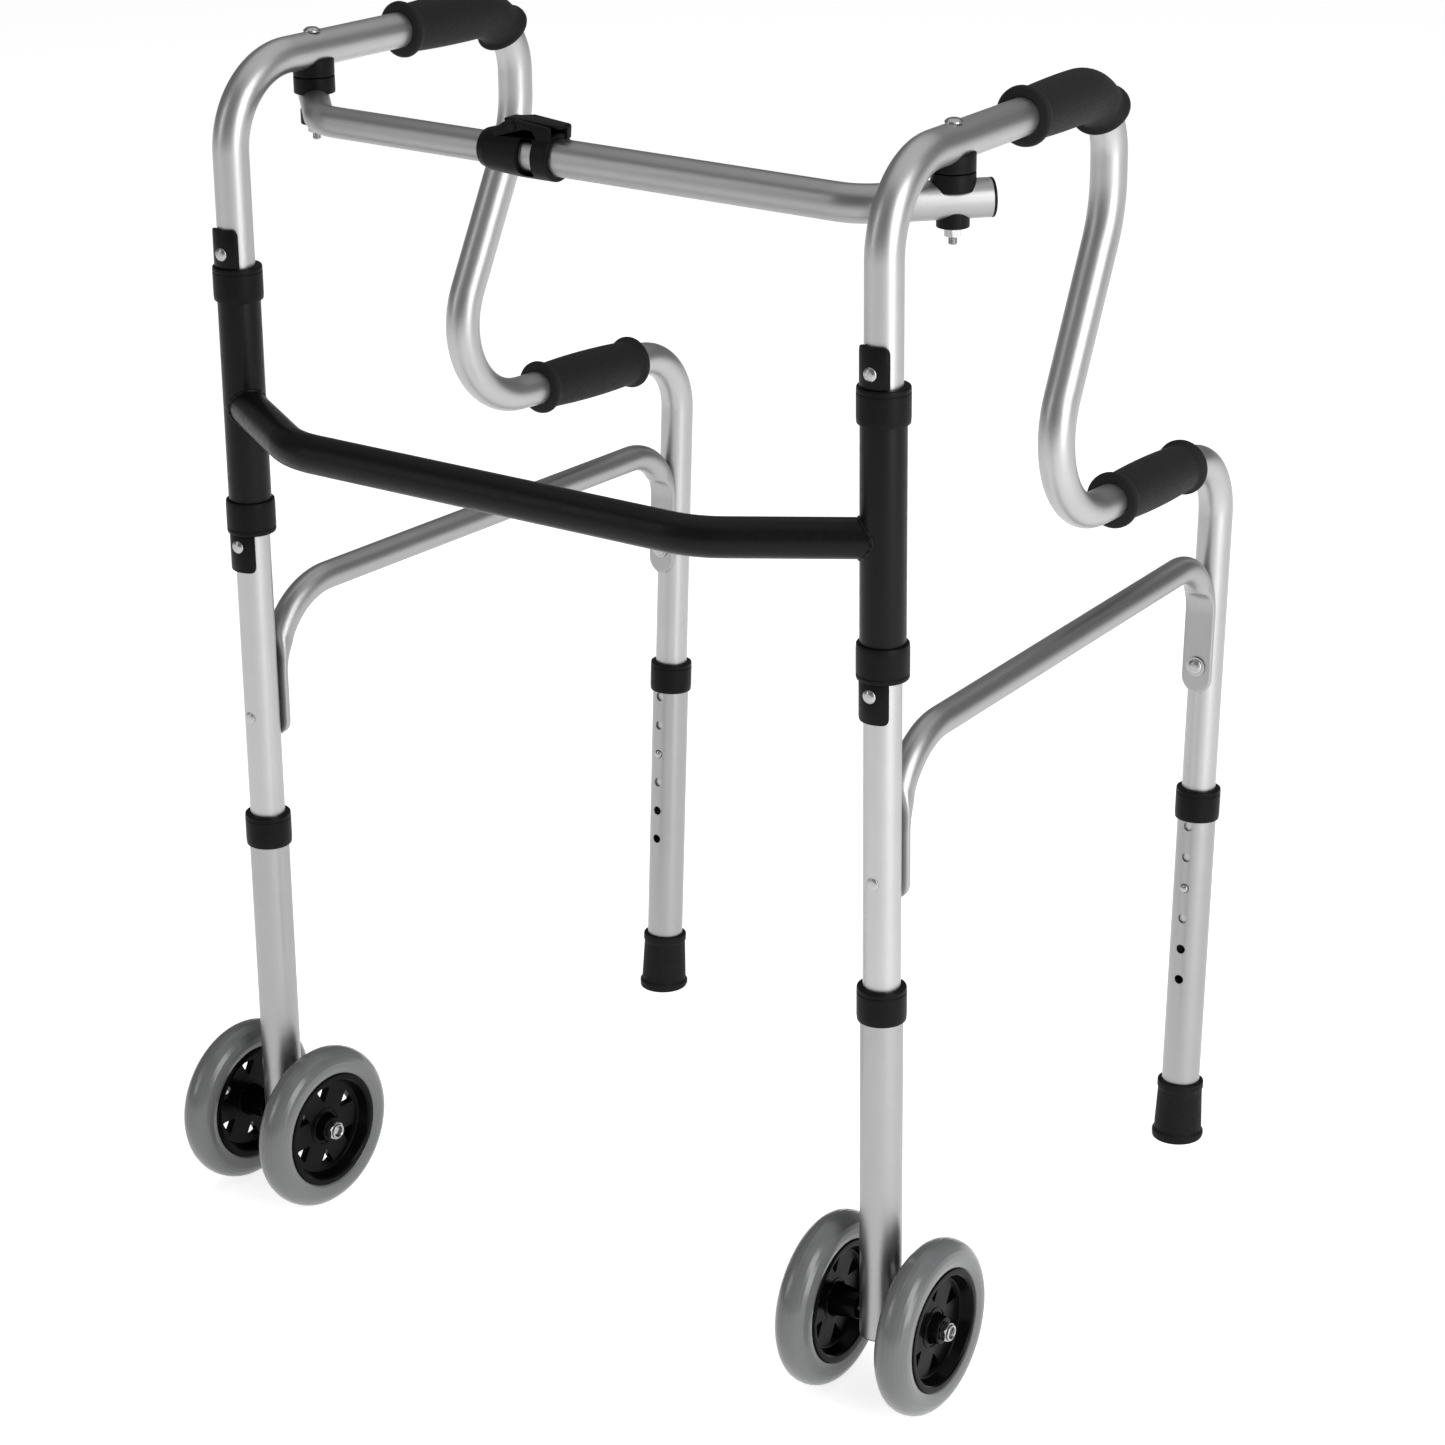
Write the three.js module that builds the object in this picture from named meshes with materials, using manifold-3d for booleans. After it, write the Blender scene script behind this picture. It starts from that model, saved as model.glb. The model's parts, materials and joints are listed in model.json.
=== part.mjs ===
// Folding walking frame with two handle levels and paired front wheels, in millimetres, +Z up.
// +Y points back towards the person who walks behind it, and +X is that person's left side.
import * as THREE from 'three';
import Module from 'manifold-3d';
import { mergeVertices } from 'three/addons/utils/BufferGeometryUtils.js';

const wasm = await Module();
wasm.setup();

// ---------------------------------------------------------------- driving dimensions

const HINGE_HALF_WIDTH = 276;             // front legs stand this far either side of the middle
const TOE_IN = THREE.MathUtils.degToRad(2.8);   // each side frame turns in towards its rear leg
const TOP_HEIGHT = 879;                   // axis of the upper handle tube above the front leg
const TOP_SLOPE = 0.016;                  // and its fall per millimetre towards the rear
const LOWER_HANDLE_HEIGHT = 569;          // axis of the lower handle tube at its front end
const LOWER_HANDLE_SLOPE = 0.048;         // it falls this much per millimetre to the rear
const FOOT_DEPTH = 465;                   // rear leg axis behind the front leg axis, on the floor
const REAR_LEAN = Math.atan(0.06);      // the rear leg leans back towards its top

const TUBE_RADIUS = 13;
const TUBE_BORE = 11.6;
const LEG_RADIUS = 14.8;                  // the lower legs slide over the frame tube
const SLIDING_GAP = 0.3;
const TOUCH_GAP = 0.3;
const SIDES = 14;                         // facets around a tube

const FRONT_BEND = 60;
const REAR_BEND = 50;
const S_BEND = 66;
const S_TOP_BEND = 100;
const S_SLOPE = 0.517;                    // run of the slanted tube per millimetre of height
const S_TOP_Y = 306;                      // rear face of the upper handle loop
const LOWER_HANDLE_Y = [322, 438];
const UPPER_GRIP_START = 179;
const UPPER_GRIP_LENGTH = 121;
const GRIP_RADIUS = 18.5;

const BRACE_RADIUS = 10.4;
const BRACE_HEIGHT = 482;
const BRACE_BEND = [55, 38];              // at the front and at the rear
const BRACE_STRIP = { width: 24, thickness: 5, height: 62, bottom: 374 };
const BRACE_BOLT_HEIGHT = 394;

const SLEEVE_RADIUS = 15.6;
const SLEEVE_BOTTOM = 541;
const SLEEVE_TOP = 734;
const CROSSBAR_RADIUS = 13.8;
const CROSSBAR_BORE = 12.2;
const CROSSBAR_HEIGHT = 634;
const CROSSBAR_BOW = 66;
const CROSSBAR_CORNER = 172;
const CROSSBAR_BEND = 70;
const CLIP = { thickness: 3, height: 28, halfAngle: 0.85 };

const BAR_HEIGHT = 840;                   // the telescoping upper bar hangs under the handle tubes
const BAR_PIVOT_Y = 87.5;
const BAR_BOW = 46;
const BAR_CORNER_RUN = 44;
const BAR_BEND = 35;
const THIN_BAR_RADIUS = 11;
const THIN_BAR_BORE = 9.6;
const THICK_BAR_END = -40;
const THIN_BAR_END = 52;
const LATCH = { left: -76, step: -41, right: -14, radius: 16.8, pivotX: -46, pivotZ: 20 };
const LATCH_WINDOW = { left: -40, right: -27, bottom: -8, top: 9 };
const SWIVEL_HEIGHT = 858.6;              // the plane where frame saddles turn on bar saddles
const SWIVEL_GAP = 0.7;

const COLLAR_HEIGHT = 25;
const FRONT_COLLAR_TOP = 315.4;
const REAR_COLLAR_TOP = 293;
const HOLE_PITCH = 25.4;
const HOLE_RADIUS = 3.7;
const BUTTON_BELOW_COLLAR = 80;           // the snap button sits this far below the collar's top
const TUBE_BELOW_BUTTON = 30;
const FRONT_LEG_BOTTOM = 48;
const REAR_LEG_BOTTOM = 9;

const WHEEL_RADIUS = 63.5;
const WHEEL_HALF_WIDTH = 13;
const WHEEL_OFFSET = 40;
const RIM_RADIUS = 44.5;
const HUB_WINDOWS = 6;
const WHEEL_SEGMENTS = 18;
const LEG_COLLAR_RADIUS = 17.2;
const SLEEVE_COLLAR_RADIUS = 18;
const AXLE_RADIUS = 4;

// ---------------------------------------------------------------- materials

const LOOKS = {
  aluminium: { color: 0xc2c4c6, roughness: 0.35, metalness: 0.9 },
  powderCoat: { color: 0x17181a, roughness: 0.45, metalness: 0.2 },
  plastic: { color: 0x1b1b1c, roughness: 0.6, metalness: 0 },
  foam: { color: 0x202022, roughness: 0.9, metalness: 0 },
  rubber: { color: 0x161616, roughness: 0.8, metalness: 0 },
  tyre: { color: 0x77797b, roughness: 0.4, metalness: 0 },
  zinc: { color: 0xb4b6b8, roughness: 0.3, metalness: 1 },
};

function part(name, geometry, look) {
  const mesh = new THREE.Mesh(geometry, new THREE.MeshStandardMaterial(LOOKS[look]));
  mesh.name = name;
  return mesh;
}

// ---------------------------------------------------------------- solids

function solid(geometry, matrix) {
  let plain = geometry.clone();
  if (matrix) {
    plain.applyMatrix4(matrix);
  }
  plain.deleteAttribute('normal');
  plain.deleteAttribute('uv');
  plain = mergeVertices(plain, 1e-4);
  const vertProperties = new Float32Array(plain.attributes.position.array);
  const triVerts = new Uint32Array(plain.index.array);
  return new wasm.Manifold(new wasm.Mesh({ numProp: 3, vertProperties, triVerts }));
}

function geometryOf(manifold) {
  const mesh = manifold.getMesh();
  const geometry = new THREE.BufferGeometry();
  geometry.setAttribute('position', new THREE.BufferAttribute(new Float32Array(mesh.vertProperties), 3));
  geometry.setIndex(new THREE.BufferAttribute(new Uint32Array(mesh.triVerts), 1));
  const faceted = geometry.toNonIndexed();
  faceted.computeVertexNormals();
  return faceted;
}

function move(x, y, z) {
  return new THREE.Matrix4().makeTranslation(x, y, z);
}

// A polygon drawn around the circle when it is a bore, and inside it when it is an outer wall.
function ringPoints(radius, sides, isBore) {
  const reach = isBore ? radius / Math.cos(Math.PI / sides) : radius;
  const points = [];
  for (let i = 0; i < sides; i += 1) {
    const angle = (2 * Math.PI * i) / sides;
    points.push(new THREE.Vector2(reach * Math.cos(angle), reach * Math.sin(angle)));
  }
  return points;
}

function ringShape(radius, bore, sides = SIDES) {
  const shape = new THREE.Shape(ringPoints(radius, sides, false));
  if (bore > 0) {
    shape.holes.push(new THREE.Path(ringPoints(bore, sides, true)));
  }
  return shape;
}

function pipe(radius, bore, from, to, sides = SIDES) {
  const geometry = new THREE.ExtrudeGeometry(ringShape(radius, bore, sides), {
    depth: to - from,
    bevelEnabled: false,
  });
  geometry.translate(0, 0, from);
  return geometry;
}

// A bore along Z for subtracting.
function drill(radius, from, to, sides = SIDES) {
  const shape = new THREE.Shape(ringPoints(radius, sides, true));
  const geometry = new THREE.ExtrudeGeometry(shape, { depth: to - from, bevelEnabled: false });
  geometry.translate(0, 0, from);
  return geometry;
}

// Turned parts: the profile lists [radius, height] and is spun around Z.
function turned(profile, segments = SIDES) {
  const points = profile.map(([radius, height]) => new THREE.Vector2(radius, height));
  const geometry = new THREE.LatheGeometry(points, segments);
  geometry.rotateX(Math.PI / 2);
  return geometry;
}

function closed(profile) {
  return [...profile, profile[0]];
}

// ---------------------------------------------------------------- bent tubes

// A route is a list of stations, each a point with the tube's direction there.
class Route extends THREE.Curve {
  constructor(stations) {
    super();
    this.stations = stations;
  }

  sample(u, key) {
    const place = u * (this.stations.length - 1);
    const index = Math.min(Math.floor(place), this.stations.length - 2);
    const here = this.stations[index][key];
    const next = this.stations[index + 1][key];
    return here.clone().lerp(next, place - index);
  }

  getPoint(u) {
    return this.sample(u, 'point');
  }

  getPointAt(u) {
    return this.sample(u, 'point');
  }

  getTangentAt(u) {
    return this.sample(u, 'tangent').normalize();
  }
}

// Straight runs between corners, each corner rounded to its bend radius.
function route(corners, degreesPerStation = 18) {
  const points = corners.map(([x, y, z]) => new THREE.Vector3(x, y, z));
  const stations = [];
  const heading = points[1].clone().sub(points[0]).normalize();
  stations.push({ point: points[0], tangent: heading });
  for (let i = 1; i < points.length - 1; i += 1) {
    const before = points[i].clone().sub(points[i - 1]).normalize();
    const after = points[i + 1].clone().sub(points[i]).normalize();
    const turn = before.angleTo(after);
    const radius = corners[i][3];
    const reach = radius * Math.tan(turn / 2);
    const start = points[i].clone().addScaledVector(before, -reach);
    const inward = after.clone().addScaledVector(before, -after.dot(before)).normalize();
    const steps = Math.max(1, Math.round(THREE.MathUtils.radToDeg(turn) / degreesPerStation));
    for (let step = 0; step <= steps; step += 1) {
      const angle = (turn * step) / steps;
      const point = start.clone()
        .addScaledVector(before, radius * Math.sin(angle))
        .addScaledVector(inward, radius * (1 - Math.cos(angle)));
      const tangent = before.clone().multiplyScalar(Math.cos(angle))
        .addScaledVector(inward, Math.sin(angle));
      stations.push({ point, tangent });
    }
  }
  const last = points[points.length - 1];
  stations.push({ point: last, tangent: last.clone().sub(points[points.length - 2]).normalize() });
  return stations;
}

// The stretch of a route between two distances from its start.
function stretch(stations, from, to) {
  const kept = [];
  let travelled = 0;
  for (let i = 1; i < stations.length; i += 1) {
    const a = stations[i - 1];
    const b = stations[i];
    const step = a.point.distanceTo(b.point);
    for (const target of [from, to]) {
      if (target >= travelled && target < travelled + step) {
        const share = (target - travelled) / step;
        kept.push({
          point: a.point.clone().lerp(b.point, share),
          tangent: a.tangent.clone().lerp(b.tangent, share).normalize(),
        });
      }
    }
    travelled += step;
    if (travelled > from && travelled < to) {
      kept.push(b);
    }
  }
  return kept;
}

function bent(stations, radius, bore, sides = SIDES) {
  return new THREE.ExtrudeGeometry(ringShape(radius, bore, sides), {
    extrudePath: new Route(stations),
    steps: stations.length - 1,
    bevelEnabled: false,
  });
}

function bentSolid(stations, radius, sides = SIDES) {
  return solid(bent(stations, radius, 0, sides));
}

// ---------------------------------------------------------------- side frame, in its own plane

const frontButtonHeight = FRONT_COLLAR_TOP - BUTTON_BELOW_COLLAR;
const rearButtonHeight = REAR_COLLAR_TOP - BUTTON_BELOW_COLLAR;
const frontTubeBottom = frontButtonHeight - TUBE_BELOW_BUTTON;
const rearTubeBottom = rearButtonHeight - TUBE_BELOW_BUTTON;

function rearLegY(height) {
  return FOOT_DEPTH + height * Math.tan(REAR_LEAN);
}

function topZ(y) {
  return TOP_HEIGHT - y * TOP_SLOPE;
}

function lowerHandleZ(y) {
  return LOWER_HANDLE_HEIGHT - (y - LOWER_HANDLE_Y[0]) * LOWER_HANDLE_SLOPE;
}

// The slanted tube passes under the upper handle loop and meets the line of the lower handle.
const slantFoot = { y: 197, z: lowerHandleZ(197) };
const slantTopZ = slantFoot.z + (S_TOP_Y - slantFoot.y) / S_SLOPE;
const rearCornerY = rearLegY(560);
const rearCorner = [0, rearCornerY, lowerHandleZ(rearCornerY), REAR_BEND];

const frameRoute = route([
  [0, 0, frontTubeBottom],
  [0, 0, TOP_HEIGHT, FRONT_BEND],
  [0, S_TOP_Y, topZ(S_TOP_Y), REAR_BEND],
  [0, S_TOP_Y, slantTopZ, S_TOP_BEND],
  [0, slantFoot.y, slantFoot.z, S_BEND],
  rearCorner,
  [0, rearLegY(rearTubeBottom), rearTubeBottom],
]);

function frameTube() {
  let tube = solid(bent(frameRoute, TUBE_RADIUS, TUBE_BORE));
  const across = new THREE.Matrix4().makeRotationX(Math.PI / 2);
  const acrossRear = new THREE.Matrix4().makeRotationX(Math.PI / 2 - REAR_LEAN);
  const cuts = [
    drill(3.4, -20, 20, 10).translate(0, BAR_PIVOT_Y, topZ(BAR_PIVOT_Y)),
    drill(HOLE_RADIUS + 0.3, -20, 0, 10).applyMatrix4(across).translate(0, 0, frontButtonHeight),
    drill(HOLE_RADIUS + 0.3, 0, 20, 10).applyMatrix4(acrossRear)
      .translate(0, rearLegY(rearButtonHeight), rearButtonHeight),
    drill(3.4, -20, 20, 10).applyMatrix4(acrossRear)
      .translate(0, rearLegY(BRACE_BOLT_HEIGHT), BRACE_BOLT_HEIGHT),
  ];
  for (const cut of cuts) {
    tube = tube.subtract(solid(cut));
  }
  return geometryOf(tube);
}

function upperGrip() {
  const frontLeg = TOP_HEIGHT - FRONT_BEND - frontTubeBottom;
  const start = frontLeg + routeArc(FRONT_BEND) + UPPER_GRIP_START - FRONT_BEND;
  const along = stretch(frameRoute, start, start + UPPER_GRIP_LENGTH);
  return bent(along, GRIP_RADIUS, TUBE_RADIUS + TOUCH_GAP);
}

// Length of a right-angle bend made of the route's straight steps.
function routeArc(radius) {
  const steps = 5;
  return steps * 2 * radius * Math.sin(Math.PI / (4 * steps));
}

function lowerGrip() {
  const ends = LOWER_HANDLE_Y.map((y) => [0, y, lowerHandleZ(y)]);
  return bent(route(ends), GRIP_RADIUS, TUBE_RADIUS + TOUCH_GAP);
}

// The brace is a tube whose two ends are pressed flat and lie against the legs.
const braceFrontY = TUBE_RADIUS + TOUCH_GAP + BRACE_STRIP.thickness / 2;
const braceRearY = rearLegY(BRACE_STRIP.bottom + BRACE_STRIP.height / 2) - braceFrontY;
const braceTubeInset = 4;

function strip(y, lean) {
  const { width, thickness, height, bottom } = BRACE_STRIP;
  const box = new THREE.BoxGeometry(width, thickness, height);
  box.rotateX(-lean);
  box.translate(0, y, bottom + height / 2);
  return box;
}

function sideBrace() {
  const shoulder = BRACE_STRIP.bottom + BRACE_STRIP.height - 8;
  const front = braceFrontY + braceTubeInset + 3;
  const rear = braceRearY - braceTubeInset - 1;
  const corners = [
    [0, front, shoulder],
    [0, front, BRACE_HEIGHT, BRACE_BEND[0]],
    [0, rear, BRACE_HEIGHT, BRACE_BEND[1]],
    [0, rear - 2, shoulder],
  ];
  let brace = bentSolid(route(corners, 22), BRACE_RADIUS, 12);
  brace = brace.add(solid(strip(braceFrontY, 0)));
  brace = brace.add(solid(strip(braceRearY, REAR_LEAN)));
  const frontLeg = drill(TUBE_RADIUS + TOUCH_GAP, 0, TOP_HEIGHT);
  const rearLeg = drill(TUBE_RADIUS + TOUCH_GAP, -10, TOP_HEIGHT);
  rearLeg.rotateX(-REAR_LEAN);
  rearLeg.translate(0, FOOT_DEPTH, 0);
  brace = brace.subtract(solid(frontLeg)).subtract(solid(rearLeg));
  const boltHole = drill(3.4, 0, 60, 10);
  boltHole.rotateX(Math.PI / 2 - REAR_LEAN);
  boltHole.translate(0, rearLegY(BRACE_BOLT_HEIGHT), BRACE_BOLT_HEIGHT);
  return geometryOf(brace.subtract(solid(boltHole)));
}

// Carriage bolt along -Y through the brace and the rear leg.
function braceBolt() {
  const inside = TUBE_BORE - 1;
  const face = TUBE_RADIUS + TOUCH_GAP + BRACE_STRIP.thickness + TOUCH_GAP;
  const geometry = turned([
    [0, -inside], [3, -inside], [3, face], [6, face], [5.2, face + 2.4], [2.6, face + 3.6],
    [0, face + 4],
  ], 12);
  geometry.rotateX(Math.PI / 2);
  return geometry;
}

// ---------------------------------------------------------------- collars and clips

// A plastic ring with an inner lip, pressed over the end of an outer tube.
function collar(outerRadius, tubeRadius) {
  const skirt = tubeRadius + TOUCH_GAP + 0.35;
  const lipRadius = TUBE_RADIUS + SLIDING_GAP + 0.1;
  const lipBottom = COLLAR_HEIGHT - 3;
  return turned(closed([
    [skirt, 0], [outerRadius, 0], [outerRadius, COLLAR_HEIGHT - 2.5], [outerRadius - 1.6, COLLAR_HEIGHT],
    [lipRadius, COLLAR_HEIGHT], [lipRadius, lipBottom], [skirt, lipBottom],
  ]), 16);
}

// A plastic plate riveted to the front of the leg that stops the sleeve from sliding.
function stopClip() {
  const inner = TUBE_RADIUS + TOUCH_GAP;
  const outer = inner + CLIP.thickness;
  const outline = new THREE.Shape();
  const middle = -Math.PI / 2;
  outline.absarc(0, 0, outer, middle - CLIP.halfAngle, middle + CLIP.halfAngle, false);
  outline.absarc(0, 0, inner, middle + CLIP.halfAngle, middle - CLIP.halfAngle, true);
  return new THREE.ExtrudeGeometry(outline, {
    depth: CLIP.height,
    bevelEnabled: false,
    curveSegments: 6,
  });
}

// ---------------------------------------------------------------- lower legs

function adjustableLeg(bottom, top, buttonHeight, facing, boltHoleHeight) {
  let leg = solid(pipe(LEG_RADIUS, TUBE_RADIUS + SLIDING_GAP, bottom, top, 16));
  for (let row = -3; row <= 2; row += 1) {
    const hole = drill(HOLE_RADIUS, 8, 20, 8);
    hole.rotateX(facing * Math.PI / 2);
    hole.translate(0, 0, buttonHeight + row * HOLE_PITCH);
    leg = leg.subtract(solid(hole));
  }
  if (boltHoleHeight) {
    const hole = drill(AXLE_RADIUS + 0.2, -20, 20, 10);
    hole.rotateY(Math.PI / 2);
    hole.translate(0, 0, boltHoleHeight);
    leg = leg.subtract(solid(hole));
  }
  return geometryOf(leg);
}

// The button points along -Y from the leg's axis; the dome is proud of the outer tube.
function snapButton() {
  const start = TUBE_RADIUS + SLIDING_GAP + 0.1;
  const geometry = turned([
    [0, start], [3.3, start], [3.3, LEG_RADIUS + 0.8], [2.4, LEG_RADIUS + 2], [0, LEG_RADIUS + 2.6],
  ], 10);
  geometry.rotateX(Math.PI / 2);
  return geometry;
}

// Rubber tip: it leans with the leg, and its sole is level with the floor.
function rearTip() {
  const bore = LEG_RADIUS + TOUCH_GAP;
  const outline = [
    [0, -6], [20, -6], [20.2, 4], [18.8, 12], [17.6, 40], [17.6, 44], [16.6, 48.5], [bore, 48.5],
    [bore, REAR_LEG_BOTTOM - TOUCH_GAP], [0, REAR_LEG_BOTTOM - TOUCH_GAP],
  ];
  const tip = solid(turned(outline, 18), new THREE.Matrix4().makeRotationX(-REAR_LEAN));
  const floor = new THREE.BoxGeometry(60, 60, 20);
  floor.translate(0, 0, -10);
  return geometryOf(tip.subtract(solid(floor)));
}

// ---------------------------------------------------------------- wheels, spinning about X

function aboutX(geometry) {
  geometry.rotateY(Math.PI / 2);
  return geometry;
}

function tyre() {
  const half = WHEEL_HALF_WIDTH;
  const seat = RIM_RADIUS + TOUCH_GAP;
  const profile = closed([
    [seat, -half + 1.5], [51, -half], [58, -half + 2], [62, -half + 5.6], [WHEEL_RADIUS, 0],
    [62, half - 5.6], [58, half - 2], [51, half], [seat, half - 1.5],
  ]);
  return aboutX(turned(profile, WHEEL_SEGMENTS));
}

// The boss reaches inwards to the leg, so that the wheel runs clear of it.
function hub(inward) {
  const bore = AXLE_RADIUS + 0.1;
  const bossIn = WHEEL_OFFSET - LEG_RADIUS - 0.8;
  const bossOut = WHEEL_HALF_WIDTH - 2;
  const profile = closed([
    [bore, -bossOut], [10, -bossOut], [12, -3], [35.5, -3], [38, -12], [RIM_RADIUS, -12],
    [RIM_RADIUS, 12], [38, 12], [35.5, 3], [12, 3], [10, bossIn], [bore, bossIn],
  ]);
  let body = solid(turned(profile, WHEEL_SEGMENTS));
  const window = new THREE.Shape();
  window.moveTo(17, 0);
  window.lineTo(33, -9);
  window.lineTo(33, 9);
  for (let i = 0; i < HUB_WINDOWS; i += 1) {
    const cut = new THREE.ExtrudeGeometry(window, { depth: 8, bevelEnabled: false });
    cut.translate(0, 0, -4);
    cut.rotateZ((2 * Math.PI * i) / HUB_WINDOWS);
    body = body.subtract(solid(cut));
  }
  const geometry = aboutX(geometryOf(body));
  if (inward < 0) {
    geometry.rotateZ(Math.PI);
  }
  return geometry;
}

const axleEnd = WHEEL_OFFSET + WHEEL_HALF_WIDTH;

function axle() {
  const head = -axleEnd + 1.7;
  return aboutX(turned([
    [0, head - 7.7], [6, head - 7.7], [7, head - 6.8], [7, head - 2], [9, head - 2], [9, head],
    [AXLE_RADIUS, head],
    [AXLE_RADIUS, axleEnd + 6], [0, axleEnd + 6],
  ], 12));
}

function hexNut(bore, across, height) {
  const shape = new THREE.Shape(ringPoints(across / 2, 6, true));
  shape.holes.push(new THREE.Path(ringPoints(bore, 10, true)));
  return new THREE.ExtrudeGeometry(shape, { depth: height, bevelEnabled: false });
}

// ---------------------------------------------------------------- front cross brace

function crossBrace() {
  const height = CROSSBAR_HEIGHT;
  const corners = [
    [-HINGE_HALF_WIDTH, 0, height],
    [-CROSSBAR_CORNER, -CROSSBAR_BOW, height, CROSSBAR_BEND],
    [CROSSBAR_CORNER, -CROSSBAR_BOW, height, CROSSBAR_BEND],
    [HINGE_HALF_WIDTH, 0, height],
  ];
  const stations = route(corners, 12);
  let outside = bentSolid(stations, CROSSBAR_RADIUS);
  let inside = bentSolid(stations, CROSSBAR_BORE);
  for (const side of [-1, 1]) {
    const place = move(side * HINGE_HALF_WIDTH, 0, 0);
    outside = outside.add(solid(pipe(SLEEVE_RADIUS, 0, SLEEVE_BOTTOM, SLEEVE_TOP, 18), place));
    const bore = drill(TUBE_RADIUS + SLIDING_GAP, SLEEVE_BOTTOM - 1, SLEEVE_TOP + 1, 18);
    inside = inside.add(solid(bore, place));
  }
  return geometryOf(outside.subtract(inside));
}

// ---------------------------------------------------------------- upper bar

const pivotX = HINGE_HALF_WIDTH - BAR_PIVOT_Y * Math.sin(TOE_IN);
const pivotY = BAR_PIVOT_Y * Math.cos(TOE_IN);
const barY = pivotY - BAR_BOW;
const barAngle = Math.atan2(BAR_BOW, BAR_CORNER_RUN);

// The bar's end runs past its pivot bolt by the given length, on the given side.
function barRoute(side, pastBolt, innerEnd) {
  return route([
    [side * (pivotX + pastBolt * Math.cos(barAngle)), pivotY + pastBolt * Math.sin(barAngle), 0],
    [side * (pivotX - BAR_CORNER_RUN), barY, 0, BAR_BEND],
    [innerEnd, barY, 0],
  ]);
}

function thickBar() {
  const tube = solid(bent(barRoute(1, 25, THICK_BAR_END), TUBE_RADIUS, THIN_BAR_RADIUS + 0.4));
  const hole = solid(drill(3.4, -20, 20, 10), move(pivotX, pivotY, 0));
  return geometryOf(tube.subtract(hole));
}

function thinBar() {
  const tube = solid(bent(barRoute(-1, 17, THIN_BAR_END), THIN_BAR_RADIUS, THIN_BAR_BORE));
  const hole = solid(drill(3.4, -20, 20, 10), move(-pivotX, pivotY, 0));
  return geometryOf(tube.subtract(hole));
}

// Housing: a sleeve over both tubes with a window on each side, and two cheeks on top
// that carry the lever.
function latchHousing() {
  const thinBore = THIN_BAR_RADIUS + 0.35;
  const thickBore = TUBE_RADIUS + TOUCH_GAP;
  const sleeve = turned(closed([
    [thinBore, LATCH.left], [15, LATCH.left], [LATCH.radius, LATCH.step], [LATCH.radius, LATCH.right],
    [thickBore, LATCH.right], [thickBore, LATCH.step], [thinBore, LATCH.step],
  ]), 16);
  let housing = solid(aboutX(sleeve));
  for (const side of [-1, 1]) {
    const cheek = new THREE.BoxGeometry(30, 2.6, 14);
    housing = housing.add(solid(cheek, move(LATCH.pivotX, side * 9.4, 17)));
    const pinHole = drill(2.3, -20, 20, 10);
    pinHole.rotateX(Math.PI / 2);
    housing = housing.subtract(solid(pinHole, move(LATCH.pivotX, 0, LATCH.pivotZ)));
  }
  const window = new THREE.BoxGeometry(
    LATCH_WINDOW.right - LATCH_WINDOW.left, 40, LATCH_WINDOW.top - LATCH_WINDOW.bottom);
  const windowX = (LATCH_WINDOW.left + LATCH_WINDOW.right) / 2;
  const windowZ = (LATCH_WINDOW.bottom + LATCH_WINDOW.top) / 2;
  housing = housing.subtract(solid(window, move(windowX, 0, windowZ)));
  const inside = drill(thinBore, LATCH.left - 1, LATCH.step - 0.1, 16);
  return geometryOf(housing.subtract(solid(aboutX(inside))));
}

// Lever: a pressed tongue with a down-turned lip, and the trunnions that it turns on.
function latchLever() {
  const outline = new THREE.Shape();
  const foot = LATCH.radius + 0.6;
  const lip = TUBE_RADIUS + 0.3;
  outline.moveTo(-10, foot + 4.2);
  outline.lineTo(-1, foot);
  outline.lineTo(2, foot);
  outline.lineTo(10, foot + 3.4);
  outline.lineTo(35, foot + 3.4);
  outline.lineTo(35, lip);
  outline.lineTo(38, lip);
  outline.lineTo(38, foot + 5.6);
  outline.lineTo(6, foot + 7);
  outline.lineTo(-10, foot + 6.4);
  const plate = new THREE.ExtrudeGeometry(outline, { depth: 13, bevelEnabled: false });
  plate.translate(0, 0, -6.5);
  plate.rotateX(Math.PI / 2);
  const trunnion = pipe(2, 0, -10.5, 10.5, 10);
  trunnion.rotateX(Math.PI / 2);
  const hole = drill(2.2, -10, 40, 10);
  const lever = solid(plate, move(0, 0, -LATCH.pivotZ)).add(solid(trunnion));
  return geometryOf(lever.subtract(solid(hole, move(28, 0, 0))));
}

// ---------------------------------------------------------------- saddles at the bar's pivots

const saddleRadius = 15;

// Frame saddle: flat underneath, hollow on top to fit the handle tube that runs along Y.
function frameSaddle() {
  const bottom = SWIVEL_HEIGHT + SWIVEL_GAP;
  const block = solid(pipe(saddleRadius, 3.4, bottom, bottom + 9, 18));
  const tube = drill(TUBE_RADIUS + TOUCH_GAP, -40, 40);
  tube.rotateX(Math.PI / 2 - Math.atan(TOP_SLOPE));
  return geometryOf(block.subtract(solid(tube, move(0, 0, topZ(BAR_PIVOT_Y)))));
}

// Bar saddle: flat on top, hollow underneath to fit the bar.
function barSaddle(barRadius) {
  const bottom = SWIVEL_HEIGHT - 9;
  const block = solid(pipe(saddleRadius, 3.4, bottom, SWIVEL_HEIGHT, 18));
  return geometryOf(block.subtract(barCut(barRadius)));
}

function lowerSaddle(barRadius) {
  const bottom = BAR_HEIGHT - barRadius - 5;
  const block = solid(pipe(11, 3.4, bottom, bottom + 9, 16));
  return geometryOf(block.subtract(barCut(barRadius)));
}

function barCut(barRadius) {
  const cut = drill(barRadius + TOUCH_GAP, -40, 40, SIDES);
  cut.rotateY(Math.PI / 2);
  return solid(cut, move(0, 0, BAR_HEIGHT));
}

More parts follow.
